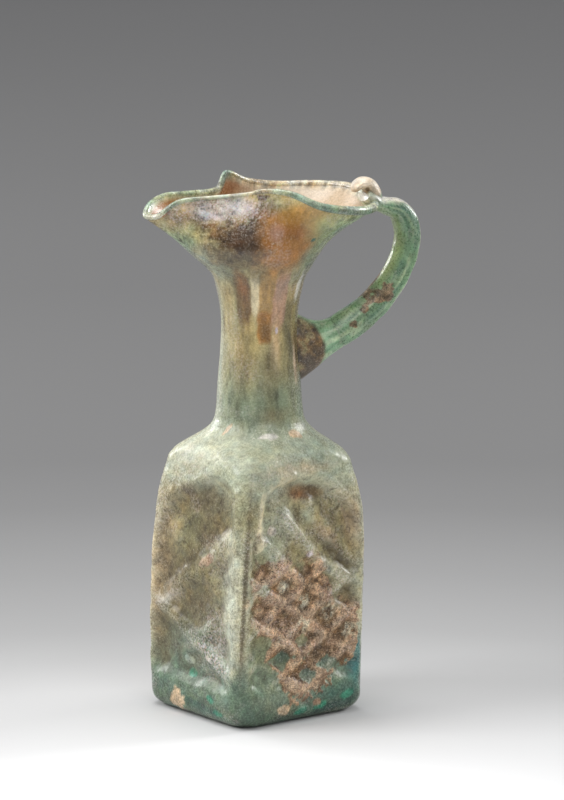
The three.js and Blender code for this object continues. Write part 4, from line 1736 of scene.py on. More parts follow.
        # These patches include painted highlights and painted shade.
        paint[:outside] = work.lay(
            paint[:outside], turn[:outside], grid[:outside], BODY_PATCHES + NECK_PATCHES + MOUTH_PATCHES
        )
        paint[:stem] = self._relief_tones(paint[:stem], relief, lumps[:stem])
        paint[:stem] = mix(
            paint[:stem], self._crust_tones(grid[:stem], relief), relief.crust[..., None]
        )
        soil = mix(linear(Tone.BUFF), linear(Tone.PEACH), np.clip(0.4 + lumps[..., None], 0, 1))
        deep = smooth(-grid[..., 2], -185, -120)[..., None]
        soil = mix(soil, linear(Tone.OLIVE), 0.7 * deep) * 0.8
        soil = work.lay(soil, turn, grid, LINING_PATCHES)
        inside = rows > marks["in_rim"]
        on_roll = (rows > marks["out_rim"]) & ~inside
        glassy = self._rim_tones(turn, grid, marks)
        strength = np.interp(
            grid[..., 2], (80, 94, 112, 122, 174, 182), (1.0, 0.7, 0.7, 1.15, 1.15, 1.8)
        )
        strength = strength * (1 - AMBER_GLASS.weight(turn, grid, 73))
        drawn = grid.copy()
        drawn[..., 2] = np.interp(
            grid[..., 2], (0, 92, 110, 118, 174, 184, 220), (0, 92, 124, 130, 147, 158, 194)
        )
        mottled = work.mottle(np.where(on_roll, glassy, paint), drawn, strength)
        return np.where(inside, soil, mottled)

    def _rim_tones(self, turn: Array, grid: Array, marks: dict[str, int]) -> Array:
        """Pale green-white glass of the roll, teal below beside the handle.

        Args:
            turn: Direction of each point.
            grid: Points.
            marks: Ring numbers at which zones meet.

        Returns:
            Linear colours.
        """
        rows = np.arange(len(grid))[:, None]
        over = (rows - marks["out_rim"]) / (marks["in_rim"] - marks["out_rim"])
        share = rough_noise(grid, 4, 91, 2)[..., None]
        glassy = mix(linear(Tone.GLASS_GREEN), linear(Tone.MILKY), 0.2 + 0.8 * share)
        glassy = self.painter.lay(glassy, turn, grid, RIM_PATCHES)
        below = smooth(0.55 - over, 0, 0.35) * smooth(np.cos(turn), -0.3, 0.5)
        return tint(glassy, Tone.TEAL, 0.6 * below)

    @staticmethod
    def _relief_tones(paint: Array, relief: Relief, lumps: Array) -> Array:
        """Dark olive in the hollows, partly earth and partly painted shade; milky white on the rib
        crests, partly film and partly painted highlight; painted cream highlights on the beads.

        Args:
            paint: Linear colours.
            relief: The pressed relief.
            lumps: Noise from -0.5 to 0.5.

        Returns:
            Linear colours.
        """
        level = relief.raised / 1.6 + 1.6 * lumps
        hollow = relief.panel * smooth(0.55 - level, 0, 0.8)
        crest = relief.panel * smooth(level, 0.55, 1.3)
        edge = smooth(relief.bead, 0.3, 1.0) * smooth(lumps, -0.2, 0.05)
        even = np.abs(relief.side) % 2 == 0
        deep = np.where(even, 0.42, 0.18) * hollow
        pale = np.where(even, 0.16, 0.34) * crest
        # Painted shade in the hollows and painted highlights on the crests and beads, laid into the
        # colour.
        paint = tint(paint, Tone.DARK_OLIVE, deep)
        paint = tint(paint, Tone.MILKY, pale)
        return tint(paint, Tone.CREAM, 0.5 * edge)

    @staticmethod
    def _crust_tones(grid: Array, relief: Relief) -> Array:
        """Brown crust: darker in the hollows, buff on the ribs, chalky on some bosses.

        Args:
            grid: Points.
            relief: The pressed relief.

        Returns:
            Linear colours.
        """
        cloud = rough_noise(grid, 5, 191, 3)
        grain = rough_noise(grid, 1.3, 197, 2)
        level = smooth(relief.raised / 1.3 + 1.1 * (cloud - 0.5), 0.1, 1.15)
        tone = tint(linear(Tone.BROWN), Tone.TAN, level)
        light = smooth(grain + 0.3 * level, 0.6, 0.9)
        dark = smooth(0.5 - grain - 0.25 * level, 0, 0.25)
        tone = tint(tone, Tone.BUFF, 0.5 * light)
        tone = tint(tone, Tone.UMBER, 0.4 * dark)
        place = relief.across * np.where(relief.side > 0, -1, 1)
        for x, z, size in ((-0.6, 38, 4), (12.4, 42, 4), (22.5, 33, 4), (-10, 54, 3), (0, 47, 3)):
            boss = smooth(1 - np.hypot(place - x, grid[..., 2] - z) / size, -0.3, 0.7)
            tone = tint(tone, Tone.MILKY, 0.5 * boss * smooth(grain, 0.35, 0.6))
        return tone


@dataclass(frozen=True)
class Handle:
    """The trailed rod handle, its foot pad, its claw over the rim and the folded thumb rest."""

    body: BodyShape = BodyShape()
    mouth: MouthShape = MouthShape()
    painter: PatchPainter = PatchPainter(seed=301)
    reach: float = 59.6
    thickness: float = 10.6
    rod_foot: float = 13.2
    rod_foot_end: float = 0.68
    width: float = 11
    rib: float = 0.55
    foot_lift: float = 27
    pad_height: float = 28
    pad_width: float = 15
    flare_end: float = 0.25
    claw_start: float = 0.76
    claw_full: float = 0.97
    claw_thickness: float = 5.6
    claw_width: float = 12
    claw_lift: float = 3.4
    fold_thickness: float = 2.4
    fold_width: float = 8.5
    fold_rise: float = 5.4
    fold_bulge: float = 3.6
    crease_place: tuple[float, float, float] = (0.4, -3.6, 2.4)
    lens_place: tuple[float, float] = (16, 140)
    lens_size: tuple[float, float] = (10, 14)
    edge_rib: tuple[float, float, float] = (0.6, 1.9, 0.16)
    columns: int = 96
    rings: int = 300
    pad_end: float = 0.2
    rod_end: float = 0.8
    shape: Curve = (
        (0.2, 0), (0.37, 0.03), (0.53, 0.09), (0.7, 0.2), (0.825, 0.32), (0.93, 0.48),
        (0.99, 0.64), (1, 0.79), (0.94, 0.91), (0.86, 0.94), (0.79, 0.965), (0.75, 1),
        (0.7, 1.03),
    )
    fold_shape: Curve = (
        (-0.8, 0.2), (-0.63, 0.69), (-0.26, 0.98), (0.28, 1), (0.74, 0.69), (1.04, 0.13),
        (1.19, -0.52),
    )

    def pieces(self) -> tuple[Piece, ...]:
        """Cuts the rod into pad, rod and claw, and adds the thumb rest.

        Returns:
            The handle's pieces from its foot up.
        """
        at = np.linspace(0, 1, self.rings)
        centre, tangent = self._line(self._path(), at)
        flare = 1 - smooth(at, 0, self.flare_end)
        claw = smooth(at, self.claw_start, self.claw_full)
        even = mix(self.rod_foot, self.thickness, smooth(at, self.flare_end, self.rod_foot_end))
        thickness = mix(mix(even, self.claw_thickness, claw), self.pad_height, flare**2)
        width = mix(mix(self.width, self.claw_width, claw), self.pad_width, flare)
        groove = self.rib * (1 - flare) * (1 - claw)
        rod = self._sweep(centre, tangent, thickness, width, groove, HANDLE_PATCHES)
        fold = self._fold(centre[-1])
        pad_end, rod_end = round(self.pad_end * self.rings), round(self.rod_end * self.rings)
        return (
            Piece(
                "handle_foot_trumpet", ("handle_foot_pad",), Glass.PAD, (rod.rows(0, pad_end),),
                start_pole=True,
            ),
            Piece("handle_ribbed_rod", ("handle_rod",), Glass.HANDLE, (rod.rows(pad_end, rod_end),)),
            Piece(
                "handle_rim_claw", ("handle_claw",), Glass.HANDLE, (rod.rows(rod_end, self.rings - 1),),
                end_pole=True,
            ),
            Piece("folded_thumb_rest", ("thumb_rest",), Glass.THUMB, (fold,), True, True),
        )

    def _path(self) -> Array:
        """Control points of the centre line, in the plane through the neck's axis.

        Returns:
            Control points.
        """
        foot = self.body.root_height + self.foot_lift
        top = self.mouth.edge_height + self.claw_lift
        return np.array(
            [(self.body.lean + self.reach * out, 0, mix(foot, top, share)) for out, share in self.shape]
        )

    @staticmethod
    def _line(points: Array, at: Array) -> tuple[Array, Array]:
        """Places and unit tangents at equal shares of the spline's length.

        Args:
            points: Control points.
            at: Shares of the line's length.

        Returns:
            Places and unit tangents.
        """
        dense = catmull_rom(points, np.linspace(0, 1, 3000))
        steps = np.linalg.norm(np.diff(dense, axis=0), axis=-1)
        length = np.concatenate([[0], np.cumsum(steps)])
        wanted = at * length[-1]
        line = np.stack([np.interp(wanted, length, dense[:, k]) for k in range(3)], axis=-1)
        tangent = np.gradient(line, axis=0)
        return line, tangent / np.linalg.norm(tangent, axis=-1, keepdims=True)

    def _sweep(
        self, centre: Array, tangent: Array, thickness: Array, width: Array,
        groove: Array, patches: tuple[Patch, ...]
    ) -> Surface:
        """Oval sections across a line in the XZ plane, with ribs on the outer face.

        A section's half thickness lies along the outward normal and its half width along Y.
        Both ends close to a point.

        Args:
            centre: Places of the line.
            tangent: Its unit tangents.
            thickness: Thickness of each section.
            width: Width of each section.
            groove: Depth of its grooves.
            patches: Patches laid over the glass.

        Returns:
            The surface of the rod or strip.
        """
        angle = np.linspace(0, FULL_TURN, self.columns, endpoint=False)
        outward = np.stack([tangent[:, 2], 0 * tangent[:, 0], -tangent[:, 0]], axis=-1)
        back = np.clip(np.cos(angle), 0, 1)
        strength, away, spread = self.edge_rib
        ribs = back**6 + strength * np.exp(-(((np.abs(angle - math.pi) - away) / spread) ** 2))
        half = thickness[:, None] / 2 - groove[:, None] * ribs
        grid = (
            centre[:, None]
            + outward[:, None] * (half * np.cos(angle))[..., None]
            + np.array([0, 1, 0]) * (width[:, None] / 2 * np.sin(angle))[..., None]
        )
        lumps = rough_noise(grid, 9, 111, 2) - 0.5
        run = np.concatenate([[0], np.cumsum(np.linalg.norm(np.diff(centre, axis=0), axis=-1))])
        around = np.stack([5 * np.cos(angle), 5 * np.sin(angle)], axis=-1)
        shape = grid.shape[:2]
        drawn = np.concatenate(
            [
                np.broadcast_to(around, (*shape, 2)),
                np.broadcast_to(run[:, None, None] / 6, (*shape, 1)),
            ],
            axis=-1,
        )
        streak = rough_noise(drawn, 1.3, 115, 3)
        grid = grid + grid_normals(grid) * (0.8 * lumps + 0.35 * (streak - 0.5))[..., None]
        grid[0], grid[-1] = centre[0], centre[-1]
        turn = np.arctan2(grid[..., 1], grid[..., 0])
        paint = self._glass_tones(grid, angle, streak, drawn)
        paint = self.painter.lay(paint, turn, grid, patches)
        (x, z), (wide, tall) = self.lens_place, self.lens_size
        lens = 1 - np.hypot((grid[..., 0] - x) / wide, (grid[..., 2] - z) / tall)
        lens = smooth(lens + 0.4 * lumps, -0.1, 0.1)
        clots = rough_noise(grid, 3, 117, 3)
        rusty = tint(linear(Tone.UMBER), Tone.BROWN, smooth(clots, 0.45, 0.62))
        rusty = tint(rusty, Tone.SAGE, 0.5 * smooth(clots, 0.62, 0.68))
        crust = self._spots(grid)
        flaky = tint(linear(Tone.BROWN), Tone.TAN, smooth(clots, 0.4, 0.6))
        paint = mix(paint, flaky, 0.9 * crust[..., None])
        paint = mix(paint, rusty, 0.95 * lens[..., None])
        paint = self.painter.mottle(paint, grid, mix(0.6, 1.3, np.maximum(crust, lens)))
        masks = {
            "crust": np.maximum(0.9 * crust, 0.2 * lens),
            "sheen": 0.3 * smooth(rough_noise(grid, 6, 141, 3), 0.5, 0.75),
            "dirt": 0.1 + 0.3 * lens,
            "speckle": 0.3 + 0.4 * smooth(rough_noise(grid, 8, 151, 2), 0.55, 0.75),
            "calm": 0.55 * (1 - np.maximum(crust, lens)),
        }
        return Surface(grid, grid_normals(grid), paint, masks)

    @staticmethod
    def _spots(grid: Array) -> Array:
        """Small broken patches of brown crust on both flanks of the rod.

        Args:
            grid: Points.

        Returns:
            A mask from 0 to 1.
        """
        ragged = rough_noise(grid, 2.2, 303, 3) - 0.5
        total = np.zeros(grid.shape[:2])
        for x, z, side, wide, tall in HANDLE_SPOTS:
            oval = np.hypot((grid[..., 0] - x) / wide, (grid[..., 2] - z) / tall)
            share = smooth(1 - oval + 2.4 * ragged, -0.1, 0.15) * (grid[..., 1] * side > -1)
            total = np.maximum(total, share)
        return total

    @staticmethod
    def _glass_tones(grid: Array, angle: Array, streak: Array, drawn: Array) -> Array:
        """Sea-green glass with drawn-out streaks, with painted light along its inner and outer edges.

        Args:
            grid: Points.
            angle: Directions of the columns.
            streak: Drawn-out noise.
            drawn: Places squeezed along the rod.

        Returns:
            Linear colours.
        """
        cloud = rough_noise(grid, 8, 121, 2)[..., None]
        paint = mix(linear(Tone.GLASS_GREEN), linear(Tone.GREY_GREEN), 0.6 * cloud)
        paint = tint(paint, Tone.PALE_GREEN, 0.5 * smooth(streak, 0.5, 0.68))
        teal = smooth(rough_noise(drawn, 2.0, 127, 2), 0.5, 0.66)
        paint = tint(paint, Tone.TEAL, 0.45 * teal)
        paint = paint * np.clip(1.2 + 1.5 * (streak - 0.5), 0.6, 1.7)[..., None]
        # Painted light: leaf and lime green along the inner edge, as light shining through the glass.
        inner = smooth(-np.cos(angle), 0.3, 0.7)[None] * smooth(grid[..., 2], 156, 172)
        paint = tint(paint, Tone.LEAF, 0.85 * inner)
        rim = smooth(-np.cos(angle), 0.6, 0.85)[None] * smooth(grid[..., 2], 160, 172)
        paint = tint(paint, Tone.LIME, 0.9 * rim)
        # Painted highlight: a chalk-white line along the outer edge.
        outer = smooth(np.cos(angle), 0.68, 0.84)[None] * smooth(grid[..., 2], 152, 160)
        return tint(paint, Tone.CHALK, 0.8 * outer)

    def _fold(self, start: Array) -> Surface:
        """The thumb rest: a strip from the rim up over the claw's end and down to the rod.

        Its outer face follows the strip, and its inner face bulges inwards until the fold is
        closed, with a dark crease where the sides meet.

        Args:
            start: Where the claw ends.

        Returns:
            The surface of the thumb rest.
        """
        points = np.array(
            [start + np.array([out, 0, up]) * self.fold_rise for out, up in self.fold_shape]
        )
        at = np.linspace(0, 1, 90)
        centre, tangent = self._line(points, at)
        outward = np.stack([tangent[:, 2], 0 * at, -tangent[:, 0]], axis=-1)
        side = np.sign(np.sum(outward * (centre - start), axis=-1, keepdims=True))
        bulge = self.fold_bulge * np.sin(math.pi * at) ** 0.6
        centre = centre - outward * side * bulge[:, None] / 2
        closing = np.sqrt(np.clip(1 - ((at - 0.5) / 0.5) ** 8, 0, 1))
        thickness = (self.fold_thickness + bulge) * closing
        surface = self._sweep(centre, tangent, thickness, self.fold_width * closing, 0 * at, ())
        grid = surface.grid
        pale = tint(linear(Tone.BUFF), Tone.CHALK, rough_noise(grid, 3, 161, 2))
        rough = rough_noise(grid, 2.4, 165, 2) - 0.5
        green = smooth(at[:, None] + 0.5 * rough, 0.72, 0.9)
        crease = smooth(1.5 - np.linalg.norm(grid - start - self.crease_place, axis=-1) + rough, 0, 0.7)
        pale = tint(pale, Tone.SEA_GREEN, 0.8 * green)
        pale = tint(pale, Tone.BROWN, 0.85 * crease)
        pale = self.painter.mottle(pale, grid, 0.7)
        masks = {**surface.masks, "crust": np.full(grid.shape[:2], 0.1)}
        return Surface(grid, surface.normals, pale, masks)


@dataclass(frozen=True)
class PontilScar:
    """The broken ring of glass under the base."""

    radius: float = 8.5
    tube: float = 0.8
    above: float = 0.5

    def piece(self) -> Piece:
        """A ring with a rough section, as a grid that closes both ways.

        Returns:
            The ring as a piece.
        """
        around = np.linspace(0, FULL_TURN, 160, endpoint=False)
        over = np.linspace(0, FULL_TURN, 21)
        radius = self.radius + self.tube * np.cos(over)[:, None]
        grid = np.stack(
            np.broadcast_arrays(
                radius * np.cos(around), radius * np.sin(around),
                self.above + self.tube + self.tube * np.sin(over)[:, None],
            ),
            axis=-1,
        )
        chips = rough_noise(grid, 1.4, 171, 3) - 0.5
        grid = grid + grid_normals(grid) * (0.5 * chips)[..., None]
        grid[-1] = grid[0]
        paint = tint(linear(Tone.TEAL), Tone.CHALK, rough_noise(grid, 2, 181, 3))
        flat = np.zeros(grid.shape[:2])
        masks = {
            "crust": flat + 0.2, "sheen": flat, "dirt": flat + 0.2, "speckle": flat + 0.5,
            "calm": flat,
        }
        surface = Surface(grid, grid_normals(grid), paint, masks)
        return Piece("pontil_ring", ("pontil_scar",), Glass.BASE, (surface,))


class NodeKit:
    """Short ways to add shader nodes to a tree."""

    def __init__(self, tree: bpy.types.NodeTree) -> None:
        """Keeps the tree that nodes are added to."""
        self.tree = tree

    def node(self, kind: str, **settings: str | bool) -> bpy.types.Node:
        """A new node with its properties set.

        Args:
            kind: The node's type.
            settings: Properties to set.

        Returns:
            The node.
        """
        node = self.tree.nodes.new(kind)
        for name, value in settings.items():
            setattr(node, name, value)
        return node

    def link(self, source: Socket, target: Socket) -> None:
        """Joins an output to an input."""
        self.tree.links.new(source, target)

    def put(self, target: Socket, value: Value) -> None:
        """Links an output to a socket, or sets the socket to a number.

        Args:
            target: An input.
            value: An output or a number.
        """
        if isinstance(value, bpy.types.NodeSocket):
            self.link(value, target)
        else:
            target.default_value = value

    def noise(self, vector: Socket, scale: float, detail: float = 4, rough: float = 0.55) -> Socket:
        """A noise texture's value over a vector.

        Args:
            vector: Places to read.
            scale: Cells a metre.
            detail: Octaves.
            rough: Strength of the finer octaves.

        Returns:
            The noise's output.
        """
        node = self.node("ShaderNodeTexNoise")
        self.link(vector, node.inputs["Vector"])
        node.inputs["Scale"].default_value = scale
        node.inputs["Detail"].default_value = detail
        node.inputs["Roughness"].default_value = rough
        return node.outputs["Fac"]

    def math(self, operation: str, first: Value, second: Value, clamp: bool = False) -> Socket:
        """A math node of two values.

        Args:
            operation: The node's operation.
            first: First value.
            second: Second value.
            clamp: Whether the result stays between 0 and 1.

        Returns:
            The node's output.
        """
        node = self.node("ShaderNodeMath", operation=operation, use_clamp=clamp)
        self.put(node.inputs[0], first)
        self.put(node.inputs[1], second)
        return node.outputs[0]

    def ramp(self, value: Socket, low: float, high: float) -> Socket:
        """A smooth step of a value from 0 at low to 1 at high.

        Args:
            value: What is read.
            low: Where the step starts.
            high: Where it ends.

        Returns:
            The step's output.
        """
        node = self.node("ShaderNodeMapRange", interpolation_type="SMOOTHSTEP")
        self.put(node.inputs["Value"], value)
        node.inputs["From Min"].default_value = low
        node.inputs["From Max"].default_value = high
        return node.outputs["Result"]

    def mix(self, share: Socket, first: Value, second: Value) -> Socket:
        """A colour mix, first at share 0.

        Args:
            share: How much of the second.
            first: First value.
            second: Second value.

        Returns:
            The mixed colour.
        """
        node = self.node("ShaderNodeMix", data_type="RGBA", blend_type="MIX")
        self.put(node.inputs[0], share)
        for socket, value in ((node.inputs[6], first), (node.inputs[7], second)):
            self.put(socket, value)
        return node.outputs[2]

    def plus(self, base: Value, value: Value, weight: Value, clamp: bool = False) -> Socket:
        """A base with a weighted value added to it."""
        return self.math("ADD", base, self.math("MULTIPLY", value, weight), clamp)

    def centred(self, value: Socket) -> Socket:
        """A noise from -0.5 to 0.5."""
        return self.math("SUBTRACT", value, 0.5)

    def colours(self, value: Socket, stops: tuple[tuple[float, tuple[float, ...]], ...]) -> Socket:
        """A colour ramp through stops of (place, colour).

        Args:
            value: Where on the ramp.
            stops: Places and colours.

        Returns:
            The ramp's colour.
        """
        node = self.node("ShaderNodeValToRGB")
        elements = node.color_ramp.elements
        while len(elements) < len(stops):
            elements.new(0.5)
        for element, (spot, colour) in zip(elements, stops):
            element.position = spot
            element.color = colour
        self.link(value, node.inputs["Fac"])
        return node.outputs["Color"]

    def attribute(self, name: str) -> bpy.types.Node:
        """A mesh attribute."""
        return self.node("ShaderNodeAttribute", attribute_type="GEOMETRY", attribute_name=name)


def rgba(tone: Tone) -> tuple[float, float, float, float]:
    """The tone as a colour socket's value."""
    red, green, blue = (float(part) for part in linear(tone))
    return (red, green, blue, 1.0)


class WeatheringGroup:
    """The shared node group that turns the painted attributes into weathered glass."""

    NAME = "weathered_glass"
    CLOUD, GRAIN, DUST, FILM = 380, 1150, 3000, 700

    def build(self) -> bpy.types.NodeTree:
        """Makes the group.

        Returns:
            A group with the outputs Color, Roughness and Height.
        """
        tree = bpy.data.node_groups.new(self.NAME, "ShaderNodeTree")
        for name, kind in (("Color", "Color"), ("Roughness", "Float"), ("Height", "Float")):
            tree.interface.new_socket(name=name, in_out="OUTPUT", socket_type=f"NodeSocket{kind}")
        kit = NodeKit(tree)
        out = kit.node("NodeGroupOutput")
        place = kit.node("ShaderNodeTexCoord").outputs["Object"]
        paint = kit.attribute("paint").outputs["Color"]
        crust, sheen, dirt, speckle, calm = (
            kit.attribute(name).outputs["Fac"]
            for name in ("crust", "sheen", "dirt", "speckle", "calm")
        )
        lively = kit.math("SUBTRACT", 1.0, calm)
        cloud = kit.noise(place, self.CLOUD, 4, 0.6)
        grain = kit.noise(place, self.GRAIN, 4, 0.65)
        dust = kit.noise(place, self.DUST, 3, 0.7)
        color = self._mottle(kit, paint, crust, lively, cloud, grain, dust)
        color = self._dirty(kit, color, dirt, lively, cloud, grain)
        color = self._pearl(kit, color, place, sheen, grain)
        color = self._pits(kit, color, speckle, dust, grain)
        rough = kit.plus(kit.plus(0.1, grain, 0.34), dirt, 0.25)
        rough = kit.plus(rough, crust, 0.35, clamp=True)
        height = kit.plus(kit.math("MULTIPLY", cloud, 0.9), grain, 0.55)
        extra = kit.plus(kit.math("MULTIPLY", grain, 0.8), dust, 0.5)
        height = kit.plus(height, extra, crust)
        kit.link(color, out.inputs["Color"])
        kit.link(rough, out.inputs["Roughness"])
        kit.link(height, out.inputs["Height"])
        return tree

    @staticmethod
    def _mottle(
        kit: NodeKit, paint: Socket, crust: Socket, lively: Socket, cloud: Socket, grain: Socket,
        dust: Socket,
    ) -> Socket:
        """Light and dark grains of three sizes over the paint, stronger on crust.

        Args:
            kit: The group's kit.
            paint: Linear colours.
            crust: Mask of the crust.
            lively: How strong the grain is.
            cloud: The broadest noise.
            grain: The middle noise.
            dust: The finest noise.

        Returns:
            The mottled colour.
        """
        swing = kit.math("MULTIPLY", kit.centred(cloud), 0.9)
        swing = kit.plus(swing, kit.centred(grain), 1.3)
        swing = kit.plus(swing, kit.centred(dust), kit.plus(1.5, crust, 1.2))
        swing = kit.math("MULTIPLY", swing, kit.math("ADD", lively, crust))
        node = kit.node("ShaderNodeHueSaturation")
        kit.link(kit.math("ADD", 1.0, swing), node.inputs["Value"])
        kit.link(paint, node.inputs["Color"])
        return node.outputs["Color"]

    @staticmethod
    def _dirty(
        kit: NodeKit, color: Socket, dirt: Socket, lively: Socket, cloud: Socket, grain: Socket
    ) -> Socket:
        """Dark earth caught in the hollows and pores.

        Args:
            kit: The group's kit.
            color: The colour so far.
            dirt: Mask of the dirt.
            lively: How strong the grain is.
            cloud: The broadest noise.
            grain: The middle noise.

        Returns:
            The soiled colour.
        """
        both = kit.math("ADD", cloud, grain)
        pores = kit.ramp(both, 0.96, 0.8)
        film = kit.math("MULTIPLY", lively, 0.12)
        share = kit.math("MULTIPLY", kit.math("ADD", film, dirt), pores)
        return kit.mix(kit.math("MULTIPLY", share, 0.7, clamp=True), color, rgba(Tone.UMBER))

    @staticmethod
    def _pearl(kit: NodeKit, color: Socket, place: Socket, sheen: Socket, grain: Socket) -> Socket:
        """Thin pearly film in lavender, pink and pale green.

        Args:
            kit: The group's kit.
            color: The colour so far.
            place: Object coordinates.
            sheen: Mask of the sheen.
            grain: The middle noise.

        Returns:
            The filmed colour.
        """
        stops = (
            (0.32, Tone.CHALK), (0.45, Tone.LAVENDER), (0.52, Tone.ROSE), (0.6, Tone.BLUE_GREEN),
            (0.7, Tone.CHALK),
        )
        waves = kit.noise(place, WeatheringGroup.FILM, 3)
        film = kit.colours(waves, tuple((spot, rgba(tone)) for spot, tone in stops))
        share = kit.math("MULTIPLY", sheen, kit.ramp(grain, 0.4, 0.6))
        return kit.mix(kit.math("MULTIPLY", share, 0.75), color, film)

    @staticmethod
    def _pits(kit: NodeKit, color: Socket, speckle: Socket, dust: Socket, grain: Socket) -> Socket:
        """Fine white specks.

        Args:
            kit: The group's kit.
            color: The colour so far.
            speckle: Mask of the pitting.
            dust: The finest noise.
            grain: The middle noise.

        Returns:
            The speckled colour.
        """
        both = kit.plus(kit.math("MULTIPLY", dust, 0.6), grain, 0.4)
        share = kit.math("MULTIPLY", speckle, kit.ramp(both, 0.54, 0.62))
        return kit.mix(kit.math("MULTIPLY", share, 0.85), color, rgba(Tone.CHALK))


@dataclass(frozen=True)
class GlassFinish:
    """Constant numbers of one glass material."""

    slot: Glass
    transmission: float
    coat: float
    bump: float = 0.0003
    coat_roughness: float = 0.12
    ior: float = 1.5
    glow: float = 0.0
    glow_depth: float = 0.003
    glow_radius: tuple[float, float, float] = (1.0, 1.0, 0.8)

    def build(self, group: bpy.types.NodeTree) -> bpy.types.Material:
        """Makes the material around the shared group.

        Args:
            group: The shared node group.

        Returns:
            The material.
        """
        material = bpy.data.materials.new(self.slot.value)
        material.use_nodes = True
        tree = material.node_tree
        kit = NodeKit(tree)
        shader = next(n for n in tree.nodes if n.type == "BSDF_PRINCIPLED")
        weathered = kit.node("ShaderNodeGroup")
        weathered.node_tree = group
        bump = kit.node("ShaderNodeBump")
        bump.inputs["Distance"].default_value = self.bump
        kit.link(weathered.outputs["Height"], bump.inputs["Height"])
        kit.link(weathered.outputs["Color"], shader.inputs["Base Color"])
        kit.link(weathered.outputs["Roughness"], shader.inputs["Roughness"])
        kit.link(bump.outputs["Normal"], shader.inputs["Normal"])
        shader.inputs["Transmission Weight"].default_value = self.transmission
        shader.inputs["Coat Weight"].default_value = self.coat
        shader.inputs["Coat Roughness"].default_value = self.coat_roughness
        shader.inputs["IOR"].default_value = self.ior
        shader.inputs["Subsurface Weight"].default_value = self.glow
        shader.inputs["Subsurface Radius"].default_value = self.glow_radius
        shader.inputs["Subsurface Scale"].default_value = self.glow_depth
        return material


FINISHES = (
    GlassFinish(Glass.BASE, 0.1, 0.3),
    GlassFinish(Glass.BODY, 0.05, 0.2, coat_roughness=0.22),
    GlassFinish(Glass.SHOULDER, 0.05, 0.16, coat_roughness=0.24),
    GlassFinish(Glass.NECK, 0.05, 0.5),
    GlassFinish(Glass.MOUTH, 0.05, 0.4),
    GlassFinish(Glass.RIM, 0.3, 0.7, glow=0.6),
    GlassFinish(Glass.PAD, 0.0, 0.4),
    GlassFinish(Glass.HANDLE, 0.25, 0.7, glow=0.8, glow_depth=0.005),
    GlassFinish(Glass.THUMB, 0.05, 0.3),
)


def around(azimuth: float, elevation: float) -> Vector:
    """Unit direction from the object, azimuth 0 being -Y and 90 +X, in degrees.

    Args:
        azimuth: Direction in degrees, 0 being -Y and 90 +X.
        elevation: Lift in degrees.

    Returns:
        The unit direction.
    """
    turn, lift = math.radians(azimuth), math.radians(elevation)
    return Vector(
        (math.sin(turn) * math.cos(lift), -math.cos(turn) * math.cos(lift), math.sin(lift))
    )


def look_from(
    thing: bpy.types.Object, aim: Vector, azimuth: float, elevation: float, distance: float
) -> None:
    """Stands a lamp or camera off at a direction and distance and turns it to its aim.

    Args:
        thing: The lamp or camera.
        aim: The place that is aimed at.
        azimuth: Direction in degrees, 0 being -Y and 90 +X.
        elevation: Lift in degrees.
        distance: How far off it stands.
    """
    toward = around(azimuth, elevation)
    thing.location = aim + toward * distance
    thing.rotation_mode = "QUATERNION"
    thing.rotation_quaternion = toward.to_track_quat("Z", "Y")


@dataclass(frozen=True)
class Lamp:
    """A square soft lamp aimed at the vessel."""

    name: str
    azimuth: float
    elevation: float
    distance: float
    size: float
    power: float

    def build(self, aim: Vector) -> None:
        """Adds the lamp to the scene.

        Args:
            aim: The place that is aimed at.
        """
        light = bpy.data.lights.new(self.name, "AREA")
        light.shape = "SQUARE"
        light.size = self.size
        light.energy = self.power
        look_from(add_object(self.name, light), aim, self.azimuth, self.elevation, self.distance)


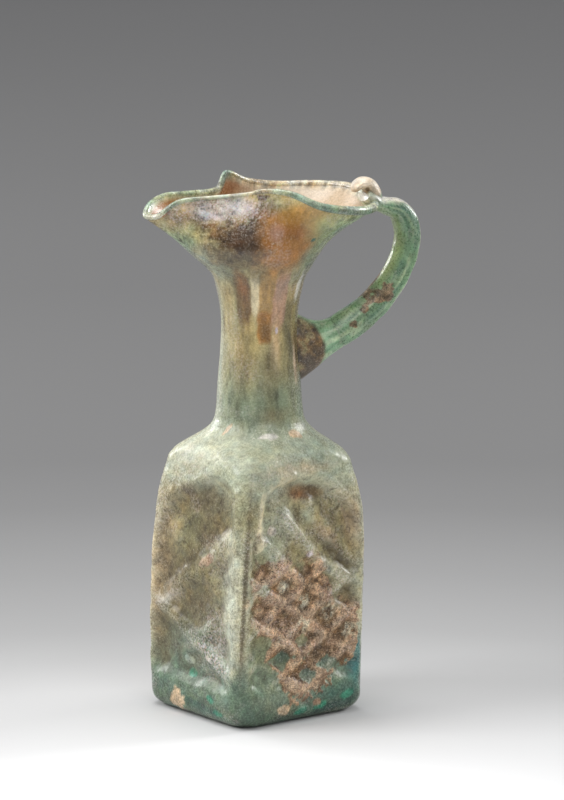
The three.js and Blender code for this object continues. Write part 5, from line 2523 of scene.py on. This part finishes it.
@dataclass(frozen=True)
class Studio:
    """Floor, lamps, surroundings and camera."""

    lamps: tuple[Lamp, ...] = (
        Lamp("key_left", -95, 34, 1.5, 0.7, 13),
        Lamp("fill_front", 5, 35, 1.8, 1.2, 8),
        Lamp("edge_right", 100, 22, 1.6, 0.5, 12),
        Lamp("edge_left", -148, 14, 1.6, 0.6, 8),
        Lamp("overhead", -150, 78, 1.7, 1.2, 20),
    )
    azimuth: float = -17
    elevation: float = 12
    distance: float = 2.3
    lens: float = 268.8
    shift: tuple[float, float] = (0.0331, 0.0669)
    floor_radius: float = 9.0
    floor_reach: float = 2.4
    painted_light_centre: float = 0.2
    floor_roughness: float = 0.9
    aim_height: float = 0.1
    sensor: float = 36
    sight: float = 50
    air: tuple[float, ...] = (0.34, 0.34, 0.35, 1)
    seen_air: tuple[float, ...] = (0.16, 0.16, 0.16, 1)

    def build(self) -> None:
        """Makes the whole stage."""
        aim = Vector((0, 0, self.aim_height))
        for lamp in self.lamps:
            lamp.build(aim)
        self._floor()
        self._world()
        self._camera(aim)

    def _floor(self) -> bpy.types.Object:
        """A plain floor with a painted pool of light: pale around the vessel and grey further off.

        Returns:
            The floor.
        """
        turn = np.linspace(0, FULL_TURN, 96, endpoint=False)
        rim = np.stack([np.cos(turn), np.sin(turn), 0 * turn], axis=-1) * self.floor_radius
        mesh = bpy.data.meshes.new("studio_floor")
        mesh.from_pydata(rim.tolist(), [], [list(range(len(rim)))])
        material = bpy.data.materials.new("studio_floor")
        material.use_nodes = True
        kit = NodeKit(material.node_tree)
        shader = next(n for n in material.node_tree.nodes if n.type == "BSDF_PRINCIPLED")
        place = kit.node("ShaderNodeTexCoord").outputs["Object"]
        away = kit.node("ShaderNodeVectorMath", operation="DISTANCE")
        kit.link(place, away.inputs[0])
        away.inputs[1].default_value = around(self.azimuth, 0) * self.painted_light_centre
        # Painted light: the grey levels fall from pale near the vessel to grey further off.
        stops = (
            (0.1, 0.78), (0.16, 0.64), (0.22, 0.5), (0.28, 0.378), (0.33, 0.307), (0.43, 0.237),
            (0.56, 0.168), (0.66, 0.146), (1.1, 0.147), (1.5, 0.173), (2.2, 0.234),
        )
        greys = tuple((spot / self.floor_reach, (level, level, level, 1)) for spot, level in stops)
        share = kit.math("DIVIDE", away.outputs["Value"], self.floor_reach)
        kit.link(kit.colours(share, greys), shader.inputs["Base Color"])
        shader.inputs["Roughness"].default_value = self.floor_roughness
        mesh.materials.append(material)
        return add_object("studio_floor", mesh)

    def _world(self) -> None:
        """Soft grey surroundings, darker where the camera sees them."""
        world = bpy.data.worlds.new("studio_air")
        bpy.context.scene.world = world
        world.use_nodes = True
        kit = NodeKit(world.node_tree)
        background = next(n for n in world.node_tree.nodes if n.type == "BACKGROUND")
        seen = kit.node("ShaderNodeLightPath").outputs["Is Camera Ray"]
        color = kit.mix(seen, self.air, self.seen_air)
        kit.link(color, background.inputs["Color"])
        background.inputs["Strength"].default_value = 1.0

    def _camera(self, aim: Vector) -> None:
        """The camera of the photograph.

        Args:
            aim: The place that is aimed at.
        """
        lens = bpy.data.cameras.new("camera")
        lens.lens = self.lens
        lens.sensor_width = self.sensor
        lens.shift_x, lens.shift_y = self.shift
        lens.clip_end = self.sight
        camera = add_object("camera", lens)
        look_from(camera, aim, self.azimuth, self.elevation, self.distance)
        bpy.context.scene.camera = camera


def main() -> None:
    """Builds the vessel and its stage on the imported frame."""
    logging.basicConfig(level=logging.INFO, format="%(name)s: %(message)s")
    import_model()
    bpy.context.scene.view_settings.view_transform = "Standard"
    group = WeatheringGroup().build()
    glass = {finish.slot: finish.build(group) for finish in FINISHES}
    for piece in (*Bubble().pieces(), *Handle().pieces(), PontilScar().piece()):
        piece.build(glass[piece.slot])
    Studio().build()


if __name__ == "__main__":
    main()
